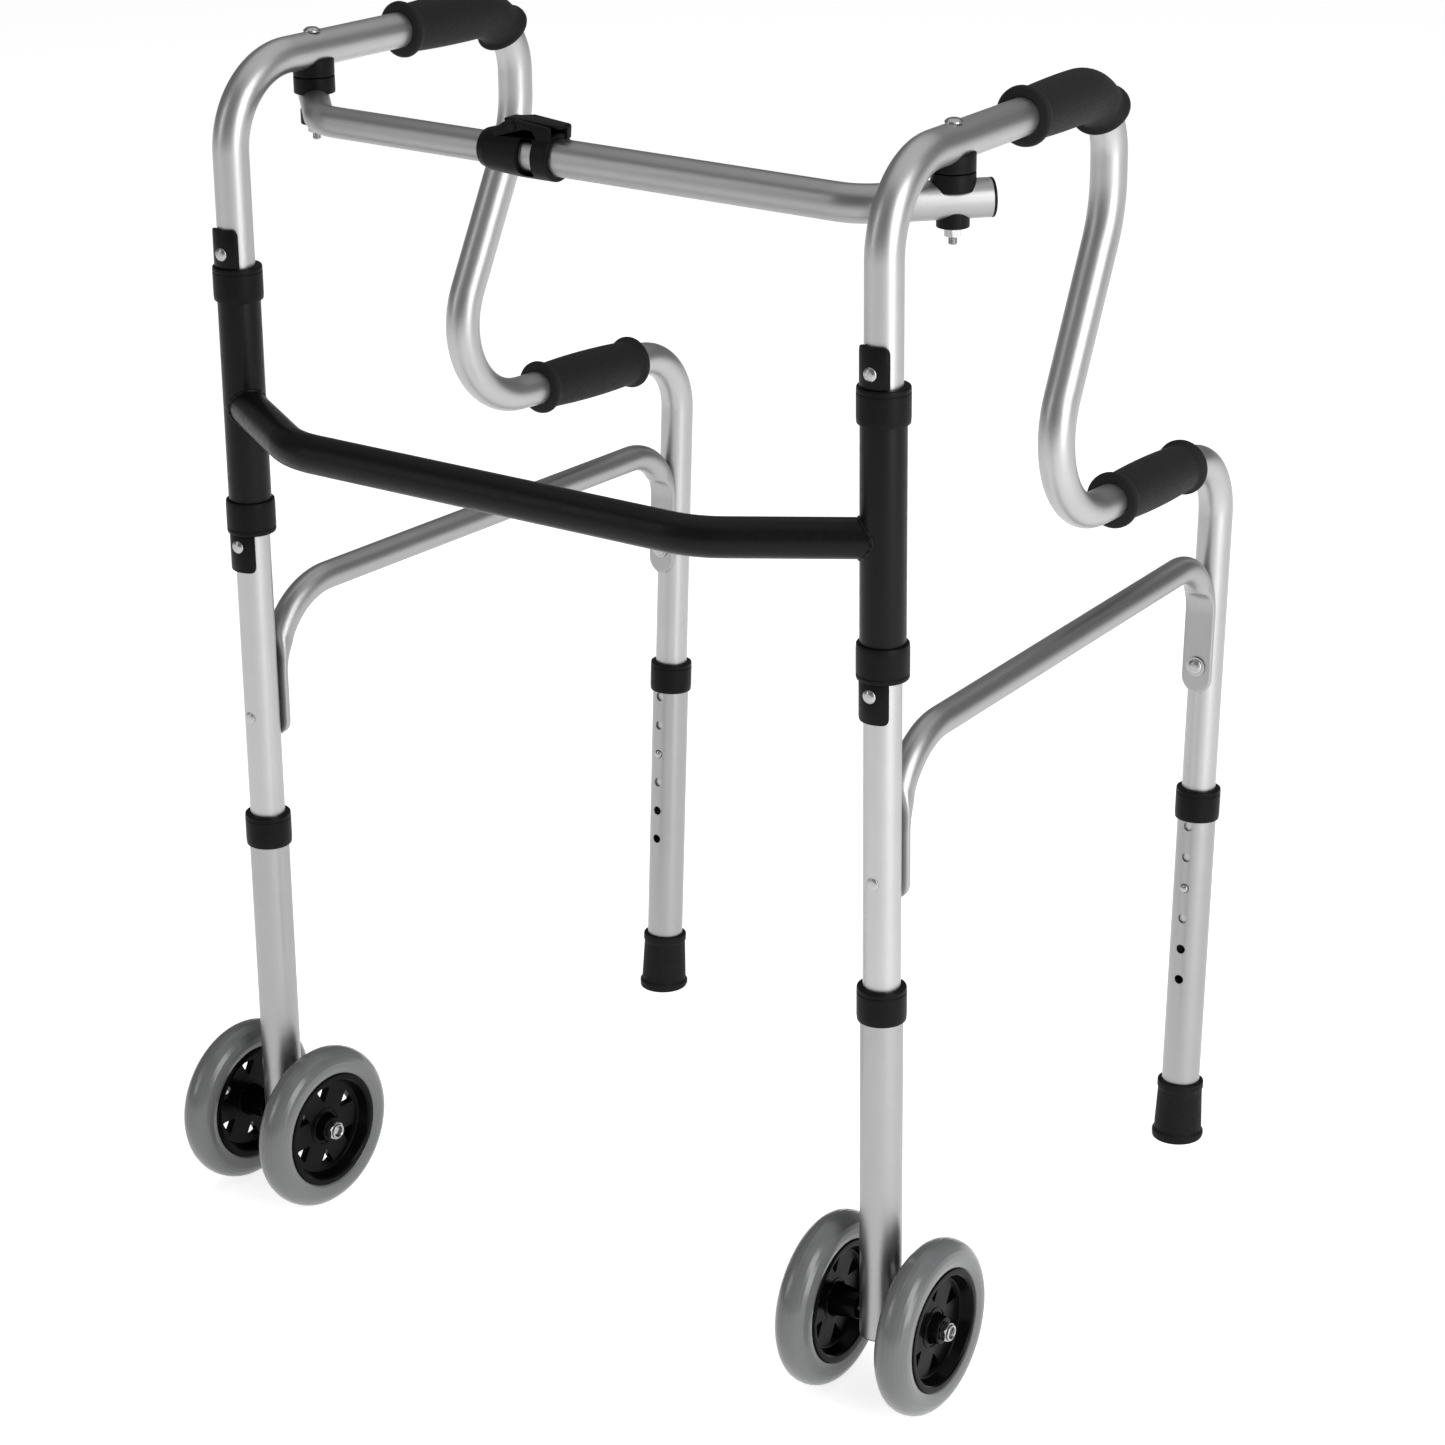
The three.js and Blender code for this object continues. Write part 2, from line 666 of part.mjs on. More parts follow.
const boltHead = topZ(BAR_PIVOT_Y) + TUBE_RADIUS + 0.5;

function pivotBolt(bottom) {
  return turned([
    [0, bottom], [3, bottom], [3, boltHead], [6.5, boltHead], [6, boltHead + 2.2],
    [3, boltHead + 3.8], [0, boltHead + 4.2],
  ], 12);
}

// The lower half of the open pivot's bolt, with its nut.
function boltEndWithNut(bottom) {
  return turned([
    [0, bottom - 11], [3, bottom - 11], [3, bottom - 6.4], [5.6, bottom - 6.4], [5.6, bottom - 0.4],
    [3, bottom - 0.4], [3, SWIVEL_HEIGHT - 1], [0, SWIVEL_HEIGHT - 1],
  ], 12);
}

// ---------------------------------------------------------------- assembly

function addFront(side, prefix) {
  const group = new THREE.Group();
  const leg = part(
    `${prefix}_front_lower_leg`,
    adjustableLeg(FRONT_LEG_BOTTOM, FRONT_COLLAR_TOP - 4, frontButtonHeight, -1, WHEEL_RADIUS),
    'aluminium',
  );
  const ring = part(`${prefix}_front_leg_collar`, collar(LEG_COLLAR_RADIUS, LEG_RADIUS), 'plastic');
  ring.position.z = FRONT_COLLAR_TOP - COLLAR_HEIGHT;
  const button = part(`${prefix}_front_snap_button`, snapButton(), 'zinc');
  button.position.z = frontButtonHeight;
  button.rotation.z = Math.PI;
  const spindle = part(`${prefix}_axle_bolt`, axle(), 'zinc');
  spindle.position.z = WHEEL_RADIUS;
  const nut = part(`${prefix}_axle_nut`, aboutX(hexNut(AXLE_RADIUS + 0.1, 13, 6)), 'zinc');
  nut.position.set(axleEnd - 1.4, 0, WHEEL_RADIUS);
  group.add(leg, ring, button, spindle, nut);
  const wheels = [['inner', -side], ['outer', side]];
  for (const [word, direction] of wheels) {
    const rubber = part(`${prefix}_${word}_tyre`, tyre(), 'tyre');
    const centre = part(`${prefix}_${word}_hub`, hub(-direction), 'plastic');
    for (const piece of [rubber, centre]) {
      piece.position.set(direction * WHEEL_OFFSET, 0, WHEEL_RADIUS);
      group.add(piece);
    }
  }
  return group;
}

function addRear(prefix) {
  const group = new THREE.Group();
  group.position.y = FOOT_DEPTH;
  const leaning = new THREE.Group();
  leaning.rotation.x = -REAR_LEAN;
  const leg = part(
    `${prefix}_rear_lower_leg`,
    adjustableLeg(REAR_LEG_BOTTOM, REAR_COLLAR_TOP - 4, rearButtonHeight, 1, 0),
    'aluminium',
  );
  const ring = part(`${prefix}_rear_leg_collar`, collar(LEG_COLLAR_RADIUS, LEG_RADIUS), 'plastic');
  ring.position.z = REAR_COLLAR_TOP - COLLAR_HEIGHT;
  const button = part(`${prefix}_rear_snap_button`, snapButton(), 'zinc');
  button.position.z = rearButtonHeight;
  leaning.add(leg, ring, button);
  group.add(leaning, part(`${prefix}_rear_tip`, rearTip(), 'rubber'));
  return group;
}

function addSide(side, prefix) {
  const group = new THREE.Group();
  group.position.x = side * HINGE_HALF_WIDTH;
  group.rotation.z = side * TOE_IN;
  group.add(
    part(`${prefix}_frame_tube`, frameTube(), 'aluminium'),
    part(`${prefix}_side_brace`, sideBrace(), 'aluminium'),
    part(`${prefix}_upper_grip`, upperGrip(), 'foam'),
    part(`${prefix}_lower_grip`, lowerGrip(), 'foam'),
  );
  const clipHeights = [['upper', SLEEVE_TOP + 3.8], ['lower', SLEEVE_BOTTOM - 3.8 - CLIP.height]];
  for (const [word, height] of clipHeights) {
    const clip = part(`${prefix}_${word}_stop_clip`, stopClip(), 'plastic');
    clip.position.z = height;
    clip.rotation.z = -side * TOE_IN;
    group.add(clip);
  }
  const bolt = part(`${prefix}_brace_bolt`, braceBolt(), 'zinc');
  bolt.position.set(0, rearLegY(BRACE_BOLT_HEIGHT), BRACE_BOLT_HEIGHT);
  bolt.rotation.x = -REAR_LEAN;
  group.add(bolt, addFront(side, prefix), addRear(prefix));
  return group;
}

function addCrossBrace() {
  const group = new THREE.Group();
  group.add(part('front_cross_brace', crossBrace(), 'powderCoat'));
  for (const [side, prefix] of [[1, 'left'], [-1, 'right']]) {
    const upper = part(`${prefix}_upper_sleeve_collar`, collar(SLEEVE_COLLAR_RADIUS, SLEEVE_RADIUS), 'plastic');
    upper.position.set(side * HINGE_HALF_WIDTH, 0, SLEEVE_TOP + 3.4 - COLLAR_HEIGHT);
    const lower = part(`${prefix}_lower_sleeve_collar`, collar(SLEEVE_COLLAR_RADIUS, SLEEVE_RADIUS), 'plastic');
    lower.rotation.x = Math.PI;
    lower.position.set(side * HINGE_HALF_WIDTH, 0, SLEEVE_BOTTOM - 3.4 + COLLAR_HEIGHT);
    group.add(upper, lower);
  }
  return group;
}

function addUpperBar() {
  const group = new THREE.Group();
  const bar = new THREE.Group();
  bar.position.z = BAR_HEIGHT;
  const housing = part('latch_housing', latchHousing(), 'plastic');
  housing.position.y = barY;
  const lever = part('latch_lever', latchLever(), 'plastic');
  lever.position.set(LATCH.pivotX, barY, LATCH.pivotZ);
  const plug = part('thin_bar_plug', aboutX(pipe(THIN_BAR_BORE - 0.4, 0, 0, 18)), 'plastic');
  plug.position.set(THIN_BAR_END - 18, barY, 0);
  bar.add(
    part('upper_bar_thick_tube', thickBar(), 'aluminium'),
    part('upper_bar_thin_tube', thinBar(), 'aluminium'),
    housing, lever, plug,
  );
  group.add(bar);
  for (const [side, prefix, radius] of [[1, 'left', TUBE_RADIUS], [-1, 'right', THIN_BAR_RADIUS]]) {
    const under = BAR_HEIGHT - radius - 5;
    const pivot = new THREE.Group();
    pivot.position.set(side * pivotX, pivotY, 0);
    const top = part(`${prefix}_frame_saddle`, frameSaddle(), 'plastic');
    top.rotation.z = side * TOE_IN;
    const middle = part(`${prefix}_bar_saddle`, barSaddle(radius), 'plastic');
    const low = part(`${prefix}_lower_saddle`, lowerSaddle(radius), 'plastic');
    middle.rotation.z = side * barAngle;
    low.rotation.z = side * barAngle;
    pivot.add(top, middle, low);
    if (side > 0) {
      const nut = part(`${prefix}_bar_nut`, hexNut(3.1, 11, 6), 'zinc');
      nut.position.z = under - 6.4;
      pivot.add(part(`${prefix}_bar_bolt`, pivotBolt(under - 11), 'zinc'), nut);
    } else {
      pivot.add(part(`${prefix}_bar_bolt`, pivotBolt(SWIVEL_HEIGHT + SWIVEL_GAP + 1), 'zinc'));
      pivot.add(part(`${prefix}_bar_bolt_end`, boltEndWithNut(under), 'zinc'));
    }
    group.add(pivot);
  }
  return group;
}

const walkingFrame = new THREE.Group();
walkingFrame.add(addCrossBrace(), addSide(1, 'left'), addSide(-1, 'right'), addUpperBar());

// The origin lies on the floor, under the middle of the outline.
walkingFrame.updateMatrixWorld(true);
const outline = new THREE.Box3().setFromObject(walkingFrame, true);
walkingFrame.position.x = -(outline.min.x + outline.max.x) / 2;
walkingFrame.position.y = -(outline.min.y + outline.max.y) / 2;
walkingFrame.position.z = -outline.min.z;

export default walkingFrame;
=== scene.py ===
"""A folding walking frame with two handle levels and paired front wheels.

Every piece is built in millimetres around its own middle, then placed where the CAD model has it.
+Y points back towards the person who walks behind the frame, and +X is that person's left side.
"""

import json
import math

import bmesh
import bpy
from mathutils import Matrix, Vector


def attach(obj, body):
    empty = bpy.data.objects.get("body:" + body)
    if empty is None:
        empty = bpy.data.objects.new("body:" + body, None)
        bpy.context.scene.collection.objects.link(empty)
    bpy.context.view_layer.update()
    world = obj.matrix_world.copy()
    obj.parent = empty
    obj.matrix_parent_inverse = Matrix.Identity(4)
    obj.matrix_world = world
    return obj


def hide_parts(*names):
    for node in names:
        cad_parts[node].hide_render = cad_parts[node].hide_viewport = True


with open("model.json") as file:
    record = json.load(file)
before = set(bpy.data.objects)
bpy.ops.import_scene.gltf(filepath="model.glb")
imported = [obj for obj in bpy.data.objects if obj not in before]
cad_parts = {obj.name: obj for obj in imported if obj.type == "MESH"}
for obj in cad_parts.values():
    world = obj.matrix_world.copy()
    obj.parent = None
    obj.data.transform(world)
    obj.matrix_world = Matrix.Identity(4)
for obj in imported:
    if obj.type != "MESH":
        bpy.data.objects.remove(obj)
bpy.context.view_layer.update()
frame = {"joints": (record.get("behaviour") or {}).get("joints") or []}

# ---------------------------------------------------------------- driving dimensions

TOE_IN = math.radians(2.8)             # each side frame turns in towards its rear leg
TOP_HEIGHT = 879.0                     # axis of the upper handle tube above the front leg
TOP_SLOPE = 0.016
LOWER_HANDLE_HEIGHT = 569.0
LOWER_HANDLE_SLOPE = 0.048
LOWER_HANDLE = (322.0, 438.0)          # where the lower grip starts and ends
FOOT_DEPTH = 465.0
LEAN_RUN = 0.06                        # the rear leg's run per millimetre of height
REAR_LEAN = math.atan(LEAN_RUN)

TUBE_RADIUS = 13.0
TUBE_BORE = 11.6
LEG_RADIUS = 14.8
LEG_BORE = 13.3
FIT_RADIUS = 13.3                      # a bore that fits over the frame tube

FRONT_BEND = 60.0
REAR_BEND = 50.0
S_BEND = 66.0
S_TOP_BEND = 100.0
S_SLOPE = 0.517
S_TOP_Y = 306.0
SLANT_FOOT_Y = 197.0
UPPER_GRIP_START = 179.0
UPPER_GRIP_LENGTH = 121.0

BRACE_RADIUS = 10.4
BRACE_HEIGHT = 482.0
BRACE_BENDS = (60.0, 43.0)             # at the front and at the rear
STRIP_WIDTH = 24.0
STRIP_THICKNESS = 5.0
STRIP_BOTTOM = 374.0
BRACE_BOLT_HEIGHT = 394.0

SLEEVE_RADIUS = 15.6
SLEEVE_BOTTOM = 541.0
SLEEVE_TOP = 734.0
CROSSBAR_RADIUS = 13.8
CROSSBAR_HEIGHT = 634.0
CROSSBAR_BOW = 66.0
CROSSBAR_CORNER = 172.0
CROSSBAR_BEND = 70.0
CLIP_THICKNESS = 3.0
CLIP_HEIGHT = 28.0
CLIP_HALF_ANGLE = 0.85

BAR_HEIGHT = 840.0
BAR_PIVOT_Y = 87.5
BAR_BOW = 46.0
BAR_CORNER_RUN = 44.0
BAR_BEND = 35.0
THIN_BAR_RADIUS = 11.0
THIN_BAR_BORE = 9.6
THICK_BAR_END = -40.0
THIN_BAR_END = 52.0
SWIVEL_HEIGHT = 858.6                  # the plane where the upper bar turns on the side frames
SADDLE_RADIUS = 15.0

LATCH_LEFT = -76.0
LATCH_STEP = -41.0                     # where the housing's bore widens for the thick tube
LATCH_WINDOW = (-40.0, -27.0)
LATCH_RIGHT = -14.0
LATCH_PIVOT = Vector((-46.0, 0.0, 20.0))

COLLAR_HEIGHT = 25.0
LEG_COLLAR_RADIUS = 17.2
SLEEVE_COLLAR_RADIUS = 18.0
FRONT_COLLAR_TOP = 315.4
REAR_COLLAR_TOP = 293.0
HOLE_PITCH = 25.4
HOLE_RADIUS = 3.7
BUTTON_BELOW_COLLAR = 80.0
TUBE_BELOW_BUTTON = 30.0
FRONT_LEG_BOTTOM = 48.0
REAR_LEG_BOTTOM = 9.0

WHEEL_RADIUS = 63.5
WHEEL_HALF_WIDTH = 13.0
WHEEL_OFFSET = 40.0
RIM_RADIUS = 44.5
HUB_WINDOWS = 6
AXLE_RADIUS = 4.0

SIDES = 48                             # facets around a tube
X_AXIS = Vector((1.0, 0.0, 0.0))
Z_AXIS = Vector((0.0, 0.0, 1.0))

joints = {joint["name"]: joint for joint in frame["joints"]}
left_hinge = Vector(joints["left_fold"]["pos_m"])
right_hinge = Vector(joints["right_fold"]["pos_m"])
HALF_WIDTH = (left_hinge.x - right_hinge.x) / 2 * 1000
middle = (left_hinge + right_hinge) / 2
ROW = Matrix.Translation((middle.x, middle.y, 0)) @ Matrix.Scale(0.001, 4)


# ---------------------------------------------------------------- procedural materials

class Look:
    """A material made of nodes, with the record's slot that it belongs to."""

    def __init__(self, name, slot, metallic, specular=0.5):
        self.slot = slot
        self.material = bpy.data.materials.new(name)
        self.material.use_nodes = True
        self.nodes = self.material.node_tree.nodes
        self.links = self.material.node_tree.links
        self.shader = self.nodes["Principled BSDF"]
        self.shader.inputs["Metallic"].default_value = metallic
        self.shader.inputs["Specular IOR Level"].default_value = specular
        self.place = self.nodes.new("ShaderNodeTexCoord")
        self.bump = None

    def noise(self, scale, detail=3.0, along_tube=None):
        """Noise in real size: scale counts features per metre. along_tube stretches it along a tube."""
        node = self.nodes.new("ShaderNodeTexNoise")
        node.inputs["Detail"].default_value = detail
        node.inputs["Scale"].default_value = scale
        if along_tube is None:
            self.links.new(self.place.outputs["Object"], node.inputs["Vector"])
        else:
            stretch = self.nodes.new("ShaderNodeMapping")
            stretch.inputs["Scale"].default_value = (along_tube, 1.0, 1.0)
            self.links.new(self.place.outputs["UV"], stretch.inputs["Vector"])
            self.links.new(stretch.outputs["Vector"], node.inputs["Vector"])
        return node.outputs["Fac"]

    def cells(self, scale):
        """Round pits or pores of a foam or a cast skin."""
        node = self.nodes.new("ShaderNodeTexVoronoi")
        node.inputs["Scale"].default_value = scale
        self.links.new(self.place.outputs["Object"], node.inputs["Vector"])
        return node.outputs["Distance"]

    def colours(self, pattern, dark, light):
        mix = self.nodes.new("ShaderNodeMix")
        mix.data_type = "RGBA"
        mix.inputs["A"].default_value = (*dark, 1.0)
        mix.inputs["B"].default_value = (*light, 1.0)
        self.links.new(pattern, mix.inputs["Factor"])
        self.links.new(mix.outputs["Result"], self.shader.inputs["Base Color"])

    def roughness(self, pattern, low, high):
        spread = self.nodes.new("ShaderNodeMapRange")
        spread.inputs["From Min"].default_value = 0.3
        spread.inputs["From Max"].default_value = 0.7
        spread.inputs["To Min"].default_value = low
        spread.inputs["To Max"].default_value = high
        self.links.new(pattern, spread.inputs["Value"])
        self.links.new(spread.outputs["Result"], self.shader.inputs["Roughness"])

    def relief(self, pattern, depth_mm, strength=1.0):
        """Adds bumps of a real depth; later ones lie on top of earlier ones."""
        node = self.nodes.new("ShaderNodeBump")
        node.inputs["Strength"].default_value = strength
        node.inputs["Distance"].default_value = depth_mm * 0.001
        self.links.new(pattern, node.inputs["Height"])
        if self.bump:
            self.links.new(self.bump, node.inputs["Normal"])
        self.bump = node.outputs["Normal"]
        self.links.new(self.bump, self.shader.inputs["Normal"])


def aluminium_look(name, tone):
    """Satin anodised tube: a blasted grain with faint lines from drawing the tube."""
    look = Look(name, "aluminium_tube", metallic=1.0)
    drawn = look.noise(2400, detail=2.0, along_tube=0.012)
    look.colours(look.noise(38), (tone, tone, tone * 1.01), (tone * 1.1, tone * 1.1, tone * 1.11))
    look.roughness(drawn, 0.36, 0.44)
    look.relief(drawn, 0.012, strength=0.5)
    look.relief(look.noise(3200, detail=2.0), 0.02, strength=0.35)
    return look


def powder_coat_look():
    """Black powder coat with its orange peel and small flecks."""
    look = Look("black_powder_coat", "black_powder_coat", metallic=0.0, specular=0.14)
    look.colours(look.noise(900), (0.0025, 0.0025, 0.0028), (0.0055, 0.0055, 0.006))
    look.roughness(look.noise(260), 0.30, 0.42)
    look.relief(look.noise(420, detail=1.0), 0.10, strength=0.45)
    look.relief(look.noise(2600, detail=2.0), 0.02, strength=0.4)
    return look


def plastic_look():
    """Moulded black plastic with a fine spark-eroded grain."""
    look = Look("moulded_plastic", "black_plastic", metallic=0.0, specular=0.10)
    look.colours(look.noise(160), (0.0025, 0.0025, 0.0025), (0.0055, 0.0055, 0.0055))
    look.roughness(look.noise(700), 0.38, 0.52)
    look.relief(look.noise(2200, detail=2.0), 0.04, strength=0.5)
    return look


def hub_look():
    """Glossier nylon of the wheel centres."""
    look = Look("gloss_nylon", "black_plastic", metallic=0.0, specular=0.06)
    look.colours(look.noise(120), (0.0015, 0.0015, 0.0015), (0.003, 0.003, 0.003))
    look.roughness(look.noise(350), 0.16, 0.24)
    look.relief(look.noise(1400), 0.015, strength=0.4)
    return look


def foam_look():
    """Closed-cell vinyl foam: a matt skin with fine pores and soft unevenness."""
    look = Look("grip_foam", "grip_foam", metallic=0.0, specular=0.18)
    look.shader.inputs["Sheen Weight"].default_value = 0.02
    look.shader.inputs["Sheen Roughness"].default_value = 0.6
    look.colours(look.noise(420), (0.006, 0.006, 0.0063), (0.011, 0.011, 0.0113))
    look.roughness(look.noise(500), 0.62, 0.80)
    look.relief(look.noise(95, detail=1.0), 0.45, strength=0.35)
    look.relief(look.cells(1500), 0.10, strength=0.55)
    return look


def rubber_look():
    look = Look("tip_rubber", "tip_rubber", metallic=0.0, specular=0.14)
    look.colours(look.noise(300), (0.004, 0.004, 0.004), (0.007, 0.007, 0.007))
    look.roughness(look.noise(420), 0.55, 0.75)
    look.relief(look.noise(1800), 0.05, strength=0.5)
    return look


def tyre_look():
    """Solid grey polyurethane, cast smooth and glossy, with a little handling haze."""
    look = Look("grey_polyurethane", "grey_tyre", metallic=0.0, specular=0.5)
    look.colours(look.noise(30), (0.128, 0.130, 0.132), (0.136, 0.138, 0.140))
    look.roughness(look.noise(160), 0.20, 0.25)
    look.relief(look.noise(900, detail=2.0), 0.01, strength=0.12)
    return look


def zinc_look():
    """Bright zinc plating with cold-heading marks."""
    look = Look("zinc_plate", "zinc_steel", metallic=1.0)
    look.colours(look.noise(520), (0.34, 0.34, 0.35), (0.48, 0.48, 0.48))
    look.roughness(look.noise(800), 0.20, 0.38)
    look.relief(look.noise(1300), 0.05, strength=0.5)
    return look


LOOKS = {
    "aluminium": aluminium_look("satin_aluminium", 0.43),
    # Painted shade: a darker copy of the same anodised aluminium for the upper bar, standing for the dimmer
    # light a horizontal tube catches.
    "bar_aluminium_painted_shade": aluminium_look("bar_aluminium_painted_shade", 0.32),
    # Painted shade: a darker copy of the same anodised aluminium for the lower legs and side braces.
    "leg_aluminium_painted_shade": aluminium_look("leg_aluminium_painted_shade", 0.35),
    "powder": powder_coat_look(),
    "plastic": plastic_look(),
    "nylon": hub_look(),
    "foam": foam_look(),
    "rubber": rubber_look(),
    "tyre": tyre_look(),
    "zinc": zinc_look(),
}


# ---------------------------------------------------------------- mesh building

class Path:
    """Straight runs between corners, each corner rounded to its own bend radius."""

    def __init__(self, corners, degrees=3.0):
        points = [Vector(corner[:3]) for corner in corners]
        self.stations = [(points[0], (points[1] - points[0]).normalized())]
        for index in range(1, len(points) - 1):
            self.add_bend(points[index - 1:index + 2], corners[index][3], degrees)
        self.stations.append((points[-1], (points[-1] - points[-2]).normalized()))
        self.distances = [0.0]
        for (here, _), (there, _) in zip(self.stations, self.stations[1:]):
            self.distances.append(self.distances[-1] + (there - here).length)
        self.length = self.distances[-1]

    def add_bend(self, points, radius, degrees):
        before = (points[1] - points[0]).normalized()
        after = (points[2] - points[1]).normalized()
        turn = before.angle(after)
        start = points[1] - before * radius * math.tan(turn / 2)
        inward = (after - before * after.dot(before)).normalized()
        steps = max(1, round(math.degrees(turn) / degrees))
        for step in range(steps + 1):
            angle = turn * step / steps
            point = start + before * radius * math.sin(angle) + inward * radius * (1 - math.cos(angle))
            self.stations.append((point, before * math.cos(angle) + inward * math.sin(angle)))

    def at(self, distance):
        """The point and the direction at a distance from the start."""
        distance = min(max(distance, 0.0), self.length)
        index = 1
        while index < len(self.distances) - 1 and self.distances[index] < distance:
            index += 1
        span = self.distances[index] - self.distances[index - 1]
        share = (distance - self.distances[index - 1]) / span
        (here, heading), (there, next_heading) = self.stations[index - 1:index + 1]
        return here.lerp(there, share), heading.lerp(next_heading, share).normalized()

    def between(self, start, end, step):
        """Evenly spaced distances from start to end."""
        count = max(2, round((end - start) / step))
        return [start + (end - start) * index / count for index in range(count + 1)]


def power(value, exponent):
    return math.copysign(abs(value) ** exponent, value)


def section(point, heading, side, width, depth=None, squareness=2.0, count=SIDES):
    """A ring of points: round, or flattened when depth is given, or squarer with more squareness."""
    rise = heading.cross(side).normalized()
    depth = width if depth is None else depth
    exponent = 2.0 / squareness
    ring = []
    for index in range(count):
        angle = 2 * math.pi * index / count
        across = side * (width * power(math.cos(angle), exponent))
        ring.append(point + across + rise * (depth * power(math.sin(angle), exponent)))
    return ring


def loft(rings, loop=False, caps=False):
    """A skin over rings of equal count; a ring of one point is a pole. UVs are in metres."""
    bm = bmesh.new()
    uv = bm.loops.layers.uv.new("flow")
    rows = [[bm.verts.new(point) for point in ring] for ring in rings]
    count = max(len(row) for row in rows)
    turn = 2 * math.pi * TUBE_RADIUS * 0.001 / count
    travel = [0.0]
    for here, there in zip(rings, rings[1:]):
        travel.append(travel[-1] + (there[0] - here[0]).length * 0.001)
    travel.append(travel[-1])
    pairs = list(range(len(rows) - 1)) + ([len(rows) - 1] if loop else [])
    for index in pairs:
        here, there = rows[index], rows[(index + 1) % len(rows)]
        if len(here) == 1 and len(there) == 1:
            continue
        for j in range(count):
            k = (j + 1) % count
            corners = [(here, j, 0, j), (here, k, 0, j + 1), (there, k, 1, j + 1), (there, j, 1, j)]
            verts, places = [], []
            for row, slot, ahead, around in corners:
                vert = row[slot % len(row)]
                if vert not in verts:
                    verts.append(vert)
                    places.append((travel[index + ahead], around * turn))
            face = bm.faces.new(verts)
            for corner, place in zip(face.loops, places):
                corner[uv].uv = place
    if caps:
        bm.faces.new(rows[0][::-1])
        bm.faces.new(rows[-1])
    bmesh.ops.recalc_face_normals(bm, faces=bm.faces)
    return bm


def rounded(corners, radius, steps=4):
    """The outline with rounded corners; a third number is that corner's own radius."""
    outline = []
    for index, corner in enumerate(corners):
        here = Vector(corner[:2])
        before = Vector(corners[index - 1][:2]) - here
        after = Vector(corners[(index + 1) % len(corners)][:2]) - here
        wanted = corner[2] if len(corner) > 2 else radius
        angle = before.angle(after)
        if wanted <= 0 or angle > math.radians(176):
            outline.append(here)
            continue
        reach = min(wanted / math.tan(angle / 2), 0.48 * before.length, 0.48 * after.length)
        start = here + before.normalized() * reach
        end = here + after.normalized() * reach
        for step in range(steps + 1):
            share = step / steps
            outline.append(start * (1 - share) ** 2 + here * 2 * share * (1 - share) + end * share ** 2)
    return outline


def spun(corners, radius=0.5, count=64, steps=4):
    """A turned piece around Z. The corners list (radius, height), with 0 as a third number on the axis."""
    rings = []
    for reach, height in rounded(corners, radius, steps):
        centre = Vector((0.0, 0.0, height))
        if reach < 1e-4:
            rings.append([centre])
        else:
            rings.append(section(centre, Z_AXIS, X_AXIS, reach, count=count))
    return loft(rings, loop=True)


def about_x(bm):
    """Turns a piece spun around Z so that it is around X."""
    bm.transform(Matrix.Rotation(math.pi / 2, 4, "Y"))
    return bm


def facing(bm, towards):
    """Turns a piece that points up so that it points along +Y or -Y."""
    bm.transform(Matrix.Rotation(-towards * math.pi / 2, 4, "X"))
    return bm


def tube(path, side, outer, inner, edge=0.4):
    """A hollow tube along a path with softened ends."""
    stations = [path.at(0.0), path.at(edge)]
    stations += path.stations[1:-1]
    stations += [path.at(path.length - edge), path.at(path.length)]
    rings = []
    for index, (point, heading) in enumerate(stations):
        at_end = index in (0, len(stations) - 1)
        rings.append(section(point, heading, side, outer - (edge if at_end else 0.0)))
    for point, heading in reversed(stations):
        rings.append(section(point, heading, side, inner))
    return loft(rings, loop=True)


def prism(outline, low, high, edge=0.5, segments=2):
    """An outline in X and Y raised from low to high, with softened edges."""
    bm = bmesh.new()
    bm.loops.layers.uv.new("flow")
    face = bm.faces.new([bm.verts.new((x, y, low)) for x, y in outline])
    raised = bmesh.ops.extrude_face_region(bm, geom=[face])
    tops = [item for item in raised["geom"] if isinstance(item, bmesh.types.BMVert)]
    bmesh.ops.translate(bm, vec=(0, 0, high - low), verts=tops)
    bmesh.ops.recalc_face_normals(bm, faces=bm.faces)
    if edge > 0:
        sharp = [item for item in bm.edges if item.calc_face_angle(0.0) > math.radians(40)]
        bmesh.ops.bevel(bm, geom=sharp, offset=edge, segments=segments, profile=0.5, affect="EDGES")
    return bm


def joined(*parts):
    """Several meshes as one."""
    whole = parts[0]
    for part in parts[1:]:
        mesh = bpy.data.meshes.new("joining")
        part.to_mesh(mesh)
        part.free()
        whole.from_mesh(mesh)
        bpy.data.meshes.remove(mesh)
    return whole


def moved(bm, x=0.0, y=0.0, z=0.0):
    bmesh.ops.translate(bm, vec=(x, y, z), verts=bm.verts)
    return bm


def carved(bm, cutter, operation="DIFFERENCE"):
    """The first mesh without the space of the second, or with INTERSECT only what they share."""
    objects = []
    for item in (bm, cutter):
        mesh = bpy.data.meshes.new("carving")
        item.to_mesh(mesh)
        item.free()
        obj = bpy.data.objects.new("carving", mesh)
        bpy.context.scene.collection.objects.link(obj)
        objects.append(obj)
    cut = objects[0].modifiers.new("cut", "BOOLEAN")
    cut.object = objects[1]
    cut.operation = operation
    cut.solver = "EXACT"
    cut.use_self = True
    depsgraph = bpy.context.evaluated_depsgraph_get()
    mesh = bpy.data.meshes.new_from_object(objects[0].evaluated_get(depsgraph))
    result = bmesh.new()
    result.from_mesh(mesh)
    bpy.data.meshes.remove(mesh)
    for obj in objects:
        used = obj.data
        bpy.data.objects.remove(obj)
        bpy.data.meshes.remove(used)
    return result


def cylinder(radius, low, high, count=SIDES):
    """A plain round cutter around Z."""
    rings = [section(Vector((0, 0, z)), Z_AXIS, X_AXIS, radius, count=count) for z in (low, high)]
    return loft(rings, caps=True)


